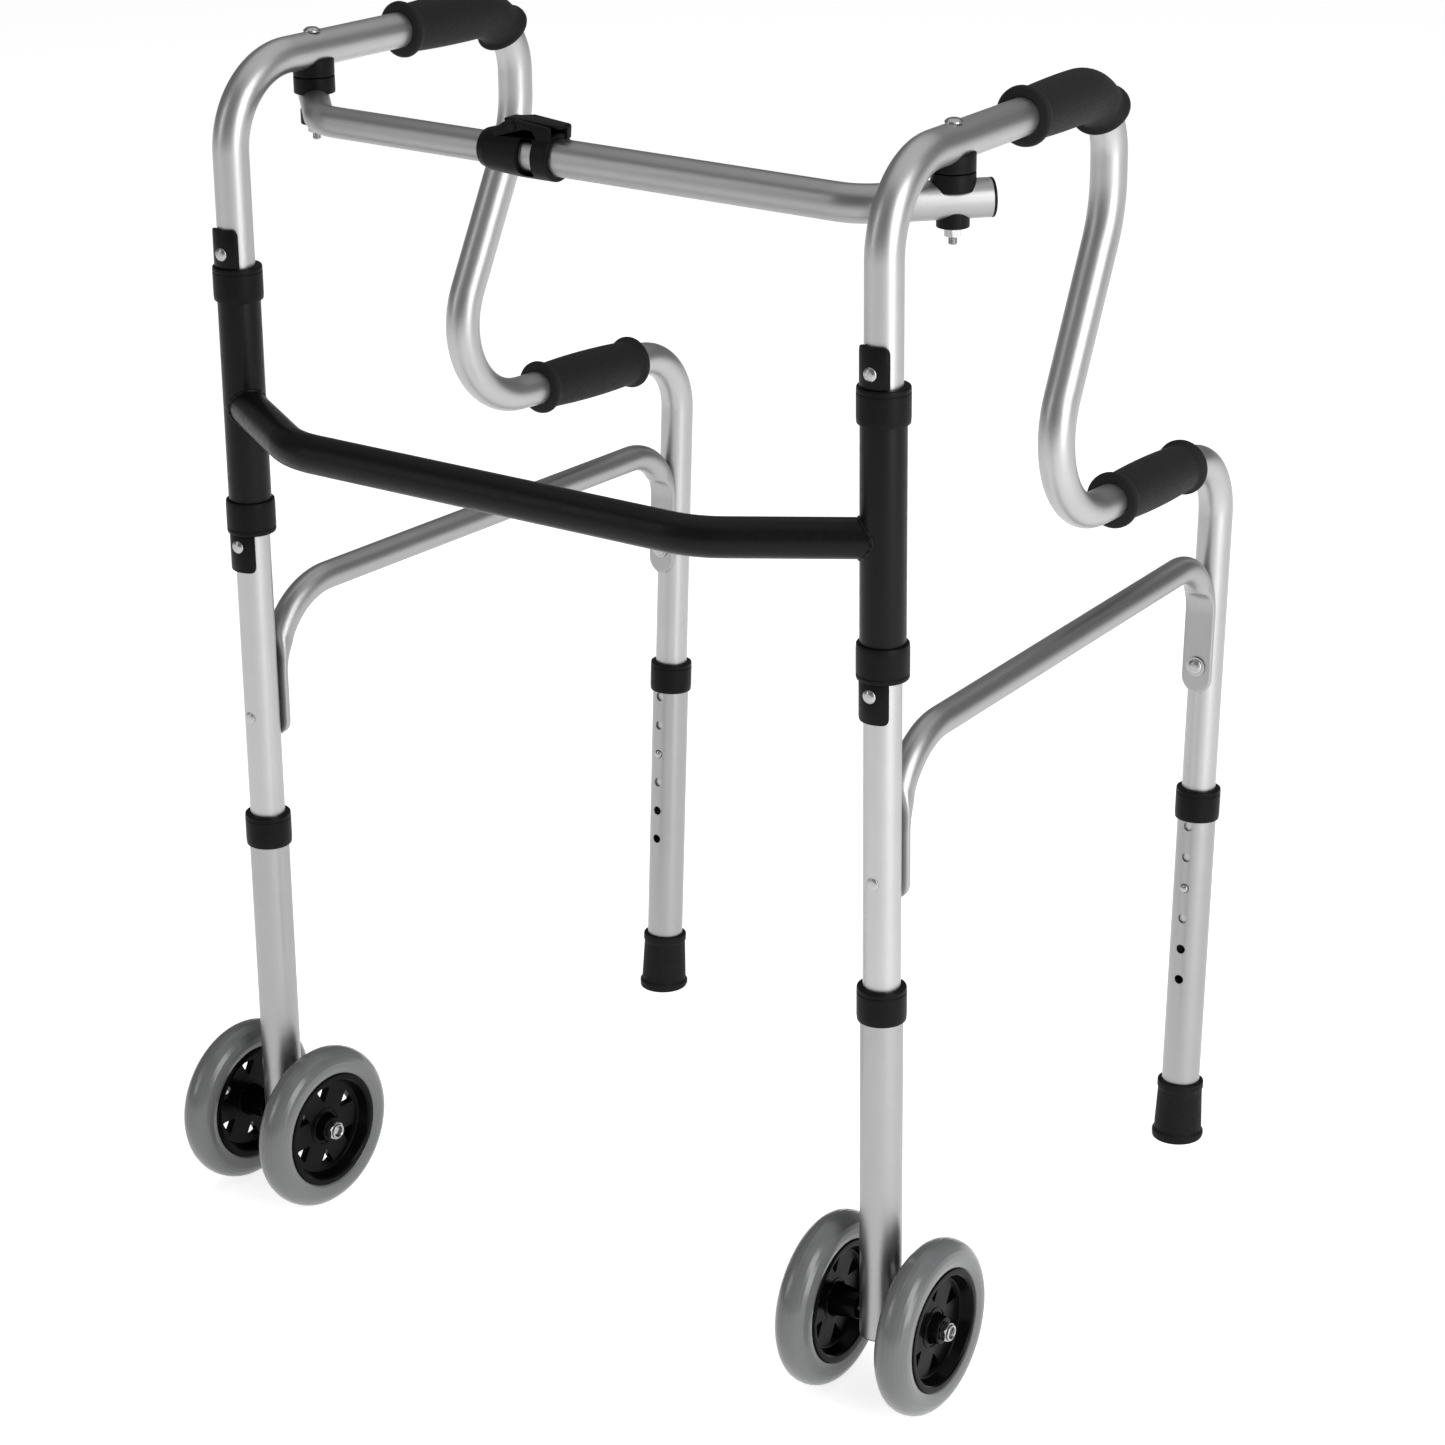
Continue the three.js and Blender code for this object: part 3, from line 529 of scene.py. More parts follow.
def piece(node, bm, look, body, place=None, replaces=True, sharp=35):
    """Puts a mesh in place as a visible piece on a body; replaces says if it stands for a CAD node."""
    bm.transform(ROW @ (place or Matrix.Identity(4)))
    mesh = bpy.data.meshes.new(f"{node}_look")
    bm.to_mesh(mesh)
    bm.free()
    mesh.shade_smooth()
    mesh.set_sharp_from_angle(angle=math.radians(sharp))
    obj = bpy.data.objects.new(mesh.name, mesh)
    bpy.context.scene.collection.objects.link(obj)
    mesh.materials.append(LOOKS[look].material)
    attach(obj, body)
    if replaces:
        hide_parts(node)
    return obj


# ---------------------------------------------------------------- side frames

def rear_leg_y(height):
    return FOOT_DEPTH + height * LEAN_RUN


def top_z(y):
    return TOP_HEIGHT - y * TOP_SLOPE


def lower_handle_z(y):
    return LOWER_HANDLE_HEIGHT - (y - LOWER_HANDLE[0]) * LOWER_HANDLE_SLOPE


def side_path():
    """The one bent tube of a side frame, from the front leg over both handles to the rear leg."""
    front_bottom = FRONT_COLLAR_TOP - BUTTON_BELOW_COLLAR - TUBE_BELOW_BUTTON
    rear_bottom = REAR_COLLAR_TOP - BUTTON_BELOW_COLLAR - TUBE_BELOW_BUTTON
    foot_z = lower_handle_z(SLANT_FOOT_Y)
    slant_top = foot_z + (S_TOP_Y - SLANT_FOOT_Y) / S_SLOPE
    rear_y = rear_leg_y(560.0)
    return Path([
        (0, 0, front_bottom),
        (0, 0, TOP_HEIGHT, FRONT_BEND),
        (0, S_TOP_Y, top_z(S_TOP_Y), REAR_BEND),
        (0, S_TOP_Y, slant_top, S_TOP_BEND),
        (0, SLANT_FOOT_Y, foot_z, S_BEND),
        (0, rear_y, lower_handle_z(rear_y), REAR_BEND),
        (0, rear_leg_y(rear_bottom), rear_bottom),
    ])


def grip(path, start, length):
    """A soft sleeve: a rolled rim at each end and a body that is fullest in the middle."""
    slim, bulge = 17.6, 1.5
    rim = [(0.0, 14.4), (0.0, 18.6), (0.5, 19.8), (1.6, 20.6), (3.0, 20.8), (4.4, 20.4), (5.6, 19.3),
           (7.0, 18.0), (9.0, slim)]
    body_start, body_end = 11.0, length - 11.0
    outline = list(rim)
    for distance in path.between(body_start, body_end, 2.5):
        share = (distance - body_start) / (body_end - body_start)
        outline.append((distance, slim + bulge * math.sin(math.pi * share) ** 0.7))
    outline += [(length - along, reach) for along, reach in reversed(rim)]
    rings = []
    for along, reach in outline:
        point, heading = path.at(start + along)
        rings.append(section(point, heading, X_AXIS, reach, count=64))
    for along in reversed(path.between(0.0, length, 5.0)):
        point, heading = path.at(start + along)
        rings.append(section(point, heading, X_AXIS, FIT_RADIUS, count=64))
    return loft(rings, loop=True)


def upper_grip_start(path):
    """The distance along the tube where the handle reaches the grip's front end."""
    distance = 0.0
    while path.at(distance)[0].y < UPPER_GRIP_START:
        distance += 1.0
    return distance


def side_brace():
    """A tube whose two ends are pressed flat against the legs and rounded off."""
    flat = TUBE_RADIUS + 0.3 + STRIP_THICKNESS / 2
    rear_top = rear_leg_y(BRACE_HEIGHT) - flat
    rear_bottom = rear_leg_y(STRIP_BOTTOM) - flat
    path = Path([
        (0, flat, STRIP_BOTTOM),
        (0, flat, BRACE_HEIGHT, BRACE_BENDS[0]),
        (0, rear_top, BRACE_HEIGHT, BRACE_BENDS[1]),
        (0, rear_bottom, STRIP_BOTTOM),
    ], degrees=2.5)
    thin, wide = STRIP_THICKNESS / 2, STRIP_WIDTH / 2
    tip_length = 12.0
    rings = []
    tips = [0.0, 0.8, 2.0, 4.0, 6.5, 9.0, 12.0, 24.0, 36.0]
    distances = tips + path.distances[1:-1] + [path.length - tip for tip in reversed(tips)]
    for distance in distances:
        point, heading = path.at(distance)
        from_end = min(distance, path.length - distance)
        bend = BRACE_BENDS[0 if distance < path.length / 2 else 1]
        lift = bend * (1 - abs(heading.z))
        fullness = min(1.0, max(0.0, lift) / (BRACE_RADIUS - thin))
        fullness = fullness * fullness * (3 - 2 * fullness) if fullness < 1 else 1.0
        depth = thin + (BRACE_RADIUS - thin) * fullness
        width = wide + (BRACE_RADIUS - wide) * fullness
        squareness = 5.0 - 3.0 * fullness
        if from_end < tip_length:
            width *= max(0.35, math.sqrt(1 - (1 - from_end / tip_length) ** 2))
        if from_end < 0.5:
            depth *= 0.8
        rings.append(section(point, heading, X_AXIS, width, depth, squareness))
    return loft(rings, caps=True)


def domed_head(face, radius, height, shank, bottom):
    """A round-headed bolt or rivet pointing up, its head resting at the height of face."""
    return spun([
        (0, bottom, 0), (shank, bottom, 0), (shank, face, 0), (radius, face, 0.2),
        (radius * 0.97, face + height * 0.35, radius * 0.2),
        (radius * 0.62, face + height * 0.86, radius * 0.5),
        (0, face + height, 0),
    ], count=40)


def brace_bolt():
    face = TUBE_RADIUS + 0.3 + STRIP_THICKNESS + 0.3
    washer = spun([(3.2, face), (7.6, face), (7.6, face + 1.1), (3.2, face + 1.1)], 0.25, count=40)
    head = domed_head(face + 1.1, 5.9, 2.9, 3.0, -TUBE_BORE + 1)
    return joined(facing(washer, -1), facing(head, -1))


def front_rivet():
    """The rivet head on the front of the leg that holds the brace's front end."""
    return facing(domed_head(TUBE_RADIUS - 0.35, 4.6, 1.5, 2.4, 6.0), -1)


def stop_clip(is_upper):
    """A plastic plate wrapped around the front of the leg, riveted beside the sleeve."""
    half = CLIP_HALF_ANGLE * (FIT_RADIUS + CLIP_THICKNESS)
    free, fixed = (CLIP_HEIGHT, 0.0) if is_upper else (0.0, CLIP_HEIGHT)
    outline = [(-half, fixed, 0.6), (half, fixed, 0.6), (half, free, 5.0), (-half, free, 5.0)]
    outer = FIT_RADIUS + CLIP_THICKNESS
    bm = prism(rounded(outline, 1.0, steps=6), FIT_RADIUS, outer, edge=0.7)
    for index in range(-9, 10):
        cut = bm.verts[:] + bm.edges[:] + bm.faces[:]
        bmesh.ops.bisect_plane(bm, geom=cut, plane_co=(index * half / 10, 0, 0), plane_no=(1, 0, 0))
    for vert in bm.verts:
        angle = vert.co.x / outer
        reach, height = vert.co.z, vert.co.y
        vert.co = Vector((reach * math.sin(angle), -reach * math.cos(angle), height))
    bmesh.ops.recalc_face_normals(bm, faces=bm.faces)
    return bm


def collar(outer, tube_radius):
    """A plastic ring with an inner lip, pressed over the end of an outer tube."""
    skirt = tube_radius + 0.1
    lip = FIT_RADIUS + 0.1
    top = COLLAR_HEIGHT
    return spun([
        (skirt, 0, 0.2), (outer - 0.3, 0, 0.8), (outer, 4.0, 2.0), (outer, top - 4.6, 0.3),
        (outer - 0.45, top - 4.2, 0.2), (outer - 0.45, top - 3.6, 0.2), (outer, top - 3.2, 0.3),
        (outer - 0.2, top, 1.3), (lip, top, 0.6), (lip, top - 3, 0.2), (skirt, top - 3, 0.2),
    ], count=72)


def adjustable_leg(bottom, top, button_height, towards):
    """An outer leg tube with its row of height holes."""
    rings = []
    profile = rounded([
        (LEG_RADIUS, bottom, 0.5), (LEG_RADIUS, top, 0.5), (LEG_BORE, top, 0.3), (LEG_BORE, bottom, 0.3),
    ], 0.4)
    for reach, height in profile:
        rings.append(section(Vector((0, 0, height)), Z_AXIS, X_AXIS, reach, count=72))
    leg = loft(rings, loop=True)
    cutters = []
    for row in range(-3, 3):
        hole = facing(cylinder(HOLE_RADIUS, 8, 20, 32), towards)
        cutters.append(moved(hole, z=button_height + row * HOLE_PITCH))
    return carved(leg, joined(*cutters))


def smooth_walls(obj, axis_low, axis_high):
    """Gives a drilled round tube true round shading on its inner and outer walls."""
    mesh = obj.data
    direction = (axis_high - axis_low).normalized()
    normals = []
    for face in mesh.polygons:
        for index in face.vertices:
            offset = mesh.vertices[index].co - axis_low
            radial = (offset - direction * offset.dot(direction)).normalized()
            facing_out = face.normal.dot(radial)
            if abs(facing_out) > 0.93:
                normals.append(radial * math.copysign(1.0, facing_out))
            else:
                normals.append(face.normal.copy())
    mesh.normals_split_custom_set(normals)


def snap_button():
    start = LEG_BORE + 0.1
    return spun([
        (0, start, 0), (3.3, start, 0.2), (3.3, LEG_RADIUS + 1.2, 1.3), (0, LEG_RADIUS + 2.6, 0),
    ], 0.5, count=40, steps=6)


def rear_tip():
    """A rubber ferrule: a rolled top rim, tapering walls and a flared foot that stands level."""
    bore = LEG_RADIUS + 0.1
    bm = spun([
        (0, -6, 0), (19.6, -6, 0.5), (20.2, 2.0, 1.0), (20.2, 4.6, 1.0), (18.7, 6.6, 1.5),
        (17.4, 40.5, 1.0), (18.1, 42.0, 0.6), (18.1, 47.6, 1.2), (bore, 48.5, 0.5),
        (bore, REAR_LEG_BOTTOM, 0.2), (0, REAR_LEG_BOTTOM, 0),
    ], 0.8, count=72)
    bm.transform(Matrix.Rotation(-REAR_LEAN, 4, "X"))
    for vert in bm.verts:
        vert.co.z = max(vert.co.z, 0.0)
    return bm


def leg_plug():
    """The black plug in the bottom of a front leg."""
    return spun([
        (0, -2.6, 0), (10.0, -2.6, 2.0), (LEG_RADIUS - 0.2, -0.6, 0.6), (LEG_RADIUS - 0.2, 0, 0.2),
        (LEG_BORE - 0.2, 0, 0.1), (LEG_BORE - 0.2, 9, 0.4), (0, 9, 0),
    ], 0.5, count=56)


# ---------------------------------------------------------------- wheels

def tyre():
    """A solid tyre with bulging sides and the fine parting line of its mould."""
    half = WHEEL_HALF_WIDTH
    seat = RIM_RADIUS + 0.1
    right = [(seat, half - 1.8), (46.5, half - 0.9), (50.0, half), (54.0, half - 0.1), (57.2, half - 1.4),
             (60.0, half - 3.7), (62.0, half - 6.4), (63.1, half - 9.6), (WHEEL_RADIUS - 0.15, 0.5)]
    outline = right + [(WHEEL_RADIUS, 0.0)] + [(reach, -height) for reach, height in reversed(right)]
    rings = []
    for reach, height in rounded(outline, 2.5, steps=3):
        rings.append(section(Vector((0, 0, height)), Z_AXIS, X_AXIS, reach, count=120))
    return about_x(loft(rings, loop=True))


def hub(inward):
    """A dished centre with windows between its spokes, a fine ring and a boss towards the leg."""
    bore = AXLE_RADIUS + 0.1
    boss_in = WHEEL_OFFSET - LEG_RADIUS - 0.8
    boss_out = WHEEL_HALF_WIDTH - 2
    body = spun([
        (bore, -boss_out, 0.3), (9.6, -boss_out, 1.2), (11.2, -3, 1.5), (36.5, -3, 1.5), (39.2, -11.2, 1.2),
        (40.4, -12.2, 0.5), (RIM_RADIUS, -12.2, 0.8), (RIM_RADIUS, 12.2, 0.8), (40.4, 12.2, 0.5),
        (39.2, 11.2, 1.2), (36.5, 3, 1.5), (12, 3, 1.5), (9.6, boss_in, 1.0), (bore, boss_in, 0.3),
    ], 0.6, count=96, steps=3)
    window = rounded([(19.0, 0), (32, -7.2), (32, 7.2)], 1.4, steps=5)
    cutters, beads = [], []
    for index in range(HUB_WINDOWS):
        cut = prism(window, -5, 5, edge=0)
        cut.transform(Matrix.Rotation(2 * math.pi * index / HUB_WINDOWS, 4, "Z"))
        cutters.append(cut)
    for face in (-1, 1):
        bead = spun([(13.6, 0), (15.0, 0), (15.0, 0.7), (13.6, 0.7)], 0.3, count=64)
        bead.transform(Matrix.Scale(face, 4, Z_AXIS))
        bmesh.ops.recalc_face_normals(bead, faces=bead.faces)
        beads.append(moved(bead, z=face * 2.9))
    bm = about_x(joined(carved(body, joined(*cutters)), *beads))
    if inward < 0:
        bm.transform(Matrix.Rotation(math.pi, 4, "Z"))
    return bm


def hexagon(across):
    """The outline of a hexagon head, by its width across flats."""
    reach = across / 2 / math.cos(math.pi / 6)
    return [(reach * math.cos(math.pi * k / 3), reach * math.sin(math.pi * k / 3)) for k in range(6)]


def hex_nut(across, height, bore):
    """A nut with turned-down corners."""
    body = prism(hexagon(across), 0, height, edge=0)
    reach = across / 2 / math.cos(math.pi / 6)
    crown = spun([
        (0, -0.01, 0), (reach - 1.1, -0.01, 0), (reach + 0.2, 0.9, 0), (reach + 0.2, height - 1.0, 0),
        (reach - 1.3, height + 0.01, 0), (0, height + 0.01, 0),
    ], 0, count=48)
    nut = carved(body, crown, "INTERSECT")
    return carved(nut, cylinder(bore, -1, height + 1, 32))


def threaded_end(radius, start, end, pitch=1.0):
    """The outline of a threaded rod's end, from start to end along its axis."""
    outline = [(radius, start, 0)]
    along = start
    while along + pitch < end - 0.8:
        outline += [(radius - 0.35, along + pitch * 0.5, 0), (radius, along + pitch, 0)]
        along += pitch
    return outline + [(radius - 0.9, end, 0.2), (0, end, 0)]


def axle_bolt():
    """A hexagon-headed bolt through both wheels, with a washer under its head."""
    end = WHEEL_OFFSET + WHEEL_HALF_WIDTH
    head = -end + 1.7
    shank = spun([(0, head - 3, 0), (AXLE_RADIUS, head - 3, 0)] +
                 threaded_end(AXLE_RADIUS, end - 6, end + 2.6), 0.1, count=40, steps=1)
    washer = spun([(4.1, head - 1.5), (9, head - 1.5), (9, head), (4.1, head)], 0.3, count=48)
    cap = moved(hex_nut(13.0, 5.3, 0.8), z=head - 7.0)
    return about_x(joined(shank, washer, cap))


def axle_nut():
    """A lock nut: a hexagon with a rolled collar that holds its nylon ring."""
    bore = AXLE_RADIUS + 0.1
    body = hex_nut(13.0, 4.6, bore)
    crown = spun([
        (bore, 4.4, 0.1), (5.9, 4.4, 0.1), (5.7, 6.2, 0.6), (4.7, 6.5, 0.3), (bore, 6.1, 0.2),
    ], 0.3, count=48)
    return about_x(joined(body, crown))


# ---------------------------------------------------------------- front cross brace

def weld_bead(path, radius):
    """The ripple of weld where the cross tube meets a sleeve."""
    point, heading = path.at(0.0)
    across = heading.cross(Z_AXIS).normalized()
    count = 90
    rings = []
    for index in range(count):
        angle = 2 * math.pi * index / count
        offset = radius * math.cos(angle)
        ahead = math.sqrt(SLEEVE_RADIUS ** 2 - offset ** 2)
        rise = radius * math.sin(angle)
        seam = point + heading * ahead + across * offset + Z_AXIS * rise
        outward = (across * math.cos(angle) + Z_AXIS * math.sin(angle)).normalized()
        around = (Z_AXIS * math.cos(angle) - across * math.sin(angle)).normalized()
        ripple = 1.7 + 0.22 * math.sin(index * math.tau / 5)
        rings.append(section(seam - outward * 0.3 - heading * 0.3, around, outward, ripple, count=14))
    return loft(rings, loop=True)


def cross_brace():
    height = CROSSBAR_HEIGHT
    path = Path([
        (-HALF_WIDTH, 0, height),
        (-CROSSBAR_CORNER, -CROSSBAR_BOW, height, CROSSBAR_BEND),
        (CROSSBAR_CORNER, -CROSSBAR_BOW, height, CROSSBAR_BEND),
        (HALF_WIDTH, 0, height),
    ], degrees=2.0)
    inside = 2.0
    distances = [inside] + [d for d in path.distances if inside < d < path.length - inside]
    distances.append(path.length - inside)
    rings = []
    for distance in distances:
        point, heading = path.at(distance)
        rings.append(section(point, heading, Z_AXIS, CROSSBAR_RADIUS))
    crossbar = loft(rings, caps=True)
    for side in (-1, 1):
        leg = cylinder(SLEEVE_RADIUS - 1.0, height - 30, height + 30, 72)
        crossbar = carved(crossbar, moved(leg, x=side * HALF_WIDTH))
    parts = [crossbar]
    for side in (-1, 1):
        sleeve = spun([
            (SLEEVE_RADIUS, SLEEVE_BOTTOM, 0.6), (SLEEVE_RADIUS, SLEEVE_TOP, 0.6),
            (FIT_RADIUS, SLEEVE_TOP, 0.2), (FIT_RADIUS, SLEEVE_BOTTOM, 0.2),
        ], 0.5, count=72)
        parts.append(moved(sleeve, x=side * HALF_WIDTH))
    parts.append(weld_bead(path, CROSSBAR_RADIUS))
    backwards = Path([(HALF_WIDTH, 0, height), (CROSSBAR_CORNER, -CROSSBAR_BOW, height)])
    parts.append(weld_bead(backwards, CROSSBAR_RADIUS))
    return joined(*parts)


# ---------------------------------------------------------------- upper bar

pivot_x = HALF_WIDTH - BAR_PIVOT_Y * math.sin(TOE_IN)
pivot_y = BAR_PIVOT_Y * math.cos(TOE_IN)
bar_y = pivot_y - BAR_BOW
bar_angle = math.atan2(BAR_BOW, BAR_CORNER_RUN)


def bar_path(side, past_bolt, inner_end):
    return Path([
        (side * (pivot_x + past_bolt * math.cos(bar_angle)), pivot_y + past_bolt * math.sin(bar_angle), 0),
        (side * (pivot_x - BAR_CORNER_RUN), bar_y, 0, BAR_BEND),
        (inner_end, bar_y, 0),
    ])


def end_cap(path, outer, bore):
    """A plastic plug in the start of a bar, with a thin rim around the tube's end."""
    point, heading = path.at(0.0)
    cap = spun([
        (0, -2.0, 0), (outer - 4.0, -2.2, 1.5), (outer + 0.1, -1.6, 1.0), (outer + 0.1, 0.0, 0.2),
        (bore - 0.2, 0.0, 0.1), (bore - 0.2, 9.0, 0.4), (0, 9.0, 0),
    ], 0.5, count=56)
    turn = Z_AXIS.rotation_difference(heading).to_matrix().to_4x4()
    cap.transform(Matrix.Translation(point) @ turn)
    return cap


def latch_housing():
    """A sleeve over both tubes with a window on each side, and the cheeks that carry the lever."""
    thin, thick = THIN_BAR_RADIUS + 0.35, TUBE_RADIUS + 0.2
    window_left, window_right = LATCH_WINDOW
    sleeve = about_x(spun([
        (thin, LATCH_LEFT, 0.8), (13.4, LATCH_LEFT, 3.0), (15.4, LATCH_LEFT + 7, 5.0),
        (16.8, window_left - 3, 2.0),
        (16.8, LATCH_RIGHT - 1, 1.2), (16.2, LATCH_RIGHT, 0.8), (thick, LATCH_RIGHT, 0.4),
        (thick, LATCH_STEP, 0.3), (thin, LATCH_STEP, 0.3),
    ], 0.8, count=96))
    window = prism(rounded([
        (window_left, -13.5), (window_right, -13.5), (window_right, 12.5), (window_left, 12.5),
    ], 4.0, steps=6), -20, 20, edge=0)
    window.transform(Matrix.Rotation(math.pi / 2, 4, "X"))
    parts = [carved(sleeve, window)]
    for side in (-1, 1):
        cheek = prism(rounded([
            (LATCH_LEFT + 13, 10.0, 0.5), (window_left - 3, 10.0, 0.5), (window_left, 14.0, 2.0),
            (window_left + 2, 18.0, 4.0), (window_right - 2, 18.0, 4.0), (window_right, 14.0, 2.0),
            (window_right + 1, 10.0, 0.5), (LATCH_RIGHT - 0.6, 10.0, 0.5), (LATCH_RIGHT - 0.6, 22.0, 1.0),
            (-42.0, 24.4, 6.0), (-52.0, 23.0, 4.0), (LATCH_LEFT + 13, 15.4, 2.0),
        ], 1.0, steps=5), -1.5, 1.5, edge=0.5)
        cheek.transform(Matrix.Rotation(math.pi / 2, 4, "X"))
        parts.append(moved(cheek, y=side * 9.4))
    return joined(*parts)


def latch_lever():
    """A pressed tongue that ends in a narrow finger lip, on the pin it turns on."""
    foot = 17.4 - LATCH_PIVOT.z
    lip = TUBE_RADIUS + 0.3 - LATCH_PIVOT.z
    side_view = rounded([
        (-10.0, foot + 4.2, 1.0), (-1.0, foot, 1.0), (2.0, foot, 1.0), (9.0, foot + 3.8, 2.0),
        (35.6, foot + 3.8, 1.4), (35.4, lip, 0.6), (37.6, lip, 0.8), (38.4, foot + 5.8, 2.4),
        (6.0, foot + 7.0, 6.0), (-10.0, foot + 6.4, 1.0),
    ], 1.0, steps=5)
    plate = prism(side_view, -6.5, 6.5, edge=0.7)
    plate.transform(Matrix.Rotation(math.pi / 2, 4, "X"))
    beside_lip = prism([(31.0, -7.0), (40.0, -7.0), (40.0, 1.5), (31.0, 1.5)], lip - 1.0, foot + 3.8, edge=0)
    plate = carved(plate, beside_lip)
    pin = cylinder(2.0, -10.5, 10.5, 32)
    pin.transform(Matrix.Rotation(math.pi / 2, 4, "X"))
    pin_heads = []
    for towards in (1, -1):
        head = spun([(0, 10.7, 0), (3.2, 10.7, 0.3), (3.2, 12.0, 0.6), (0, 12.3, 0)], 0.4, count=32)
        pin_heads.append(facing(head, towards))
    return joined(plate, pin, *pin_heads)


def saddle(low, high, radius, cutter):
    """A round block hollowed to sit against a tube."""
    block = spun([(3.4, low, 0.2), (radius, low, 0.6), (radius, high, 0.6), (3.4, high, 0.2)], 0.5, count=80)
    return carved(block, cutter)


def tube_cutter(radius, height, along):
    cutter = cylinder(radius + 0.1, -45, 45, 72)
    turn = Z_AXIS.rotation_difference(along).to_matrix().to_4x4()
    cutter.transform(Matrix.Translation((0, 0, height)) @ turn)
    return cutter


# ---------------------------------------------------------------- putting the frame together

def build_front(side, prefix, place):
    body = f"{prefix}_front_leg"
    button_height = FRONT_COLLAR_TOP - BUTTON_BELOW_COLLAR
    leg = piece(f"{prefix}_front_lower_leg",
                adjustable_leg(FRONT_LEG_BOTTOM, FRONT_COLLAR_TOP - 4, button_height, 1),
                "leg_aluminium_painted_shade", body, place)
    low = ROW @ place @ Vector((0, 0, 0))
    smooth_walls(leg, low, low + Z_AXIS)
    piece(f"{prefix}_front_leg_collar", collar(LEG_COLLAR_RADIUS, LEG_RADIUS), "plastic", body,
          place @ Matrix.Translation((0, 0, FRONT_COLLAR_TOP - COLLAR_HEIGHT)))
    piece(f"{prefix}_front_snap_button", facing(snap_button(), 1), "zinc", f"{prefix}_front_button",
          place @ Matrix.Translation((0, 0, button_height)))
    piece(f"{prefix}_leg_plug", leg_plug(), "plastic", body,
          place @ Matrix.Translation((0, 0, FRONT_LEG_BOTTOM)), replaces=False)
    axle_place = place @ Matrix.Translation((0, 0, WHEEL_RADIUS))
    piece(f"{prefix}_axle_bolt", axle_bolt(), "zinc", body, axle_place)
    nut_place = axle_place @ Matrix.Translation((WHEEL_OFFSET + WHEEL_HALF_WIDTH - 1.8, 0, 0))
    piece(f"{prefix}_axle_nut", axle_nut(), "zinc", body, nut_place)
    for word, direction in (("inner", -side), ("outer", side)):
        wheel_place = axle_place @ Matrix.Translation((direction * WHEEL_OFFSET, 0, 0))
        wheel = f"{prefix}_{word}_wheel"
        piece(f"{prefix}_{word}_tyre", tyre(), "tyre", wheel, wheel_place, sharp=50)
        piece(f"{prefix}_{word}_hub", hub(-direction), "nylon", wheel, wheel_place)


def build_rear(prefix, place):
    body = f"{prefix}_rear_leg"
    button_height = REAR_COLLAR_TOP - BUTTON_BELOW_COLLAR
    standing = place @ Matrix.Translation((0, FOOT_DEPTH, 0))
    leaning = standing @ Matrix.Rotation(-REAR_LEAN, 4, "X")
    leg = piece(f"{prefix}_rear_lower_leg",
                adjustable_leg(REAR_LEG_BOTTOM, REAR_COLLAR_TOP - 4, button_height, -1),
                "leg_aluminium_painted_shade", body, leaning)
    smooth_walls(leg, ROW @ leaning @ Vector((0, 0, 0)), ROW @ leaning @ Vector((0, 0, 1000)))
    piece(f"{prefix}_rear_leg_collar", collar(LEG_COLLAR_RADIUS, LEG_RADIUS), "plastic", body,
          leaning @ Matrix.Translation((0, 0, REAR_COLLAR_TOP - COLLAR_HEIGHT)))
    piece(f"{prefix}_rear_snap_button", facing(snap_button(), -1), "zinc", f"{prefix}_rear_button",
          leaning @ Matrix.Translation((0, 0, button_height)))
    piece(f"{prefix}_rear_tip", rear_tip(), "rubber", body, standing)


def build_side(side, prefix):
    body = f"{prefix}_side"
    upright = Matrix.Translation((side * HALF_WIDTH, 0, 0))
    place = upright @ Matrix.Rotation(side * TOE_IN, 4, "Z")
    path = side_path()
    piece(f"{prefix}_frame_tube", tube(path, X_AXIS, TUBE_RADIUS, TUBE_BORE), "aluminium", body, place)
    piece(f"{prefix}_side_brace", side_brace(), "leg_aluminium_painted_shade", body, place)
    upper = piece(f"{prefix}_upper_grip", grip(path, upper_grip_start(path), UPPER_GRIP_LENGTH),
                  "foam", body, place, sharp=60)
    handle = Path([(0, y, lower_handle_z(y)) for y in LOWER_HANDLE])
    lower = piece(f"{prefix}_lower_grip", grip(handle, 0.0, handle.length), "foam", body, place, sharp=60)
    bolt_place = Matrix.Translation((0, rear_leg_y(BRACE_BOLT_HEIGHT), BRACE_BOLT_HEIGHT))
    piece(f"{prefix}_brace_bolt", brace_bolt(), "zinc", body,
          place @ bolt_place @ Matrix.Rotation(-REAR_LEAN, 4, "X"))
    piece(f"{prefix}_brace_rivet", front_rivet(), "aluminium", body,
          place @ Matrix.Translation((0, 0, BRACE_BOLT_HEIGHT)), replaces=False)
    clip_heights = (("upper", SLEEVE_TOP + 3.8, 10.2), ("lower", SLEEVE_BOTTOM - 3.8 - CLIP_HEIGHT, 19.8))
    for word, height, rivet_height in clip_heights:
        clip_place = upright @ Matrix.Translation((0, 0, height))
        piece(f"{prefix}_{word}_stop_clip", stop_clip(word == "upper"), "plastic", body, clip_place)
        rivet = facing(domed_head(FIT_RADIUS + CLIP_THICKNESS - 0.5, 5.0, 2.6, 2.4, 12.0), -1)
        piece(f"{prefix}_{word}_clip_rivet", rivet, "zinc", body,
              clip_place @ Matrix.Translation((0, 0, rivet_height)), replaces=False)
    build_front(side, prefix, place)
    build_rear(prefix, place)


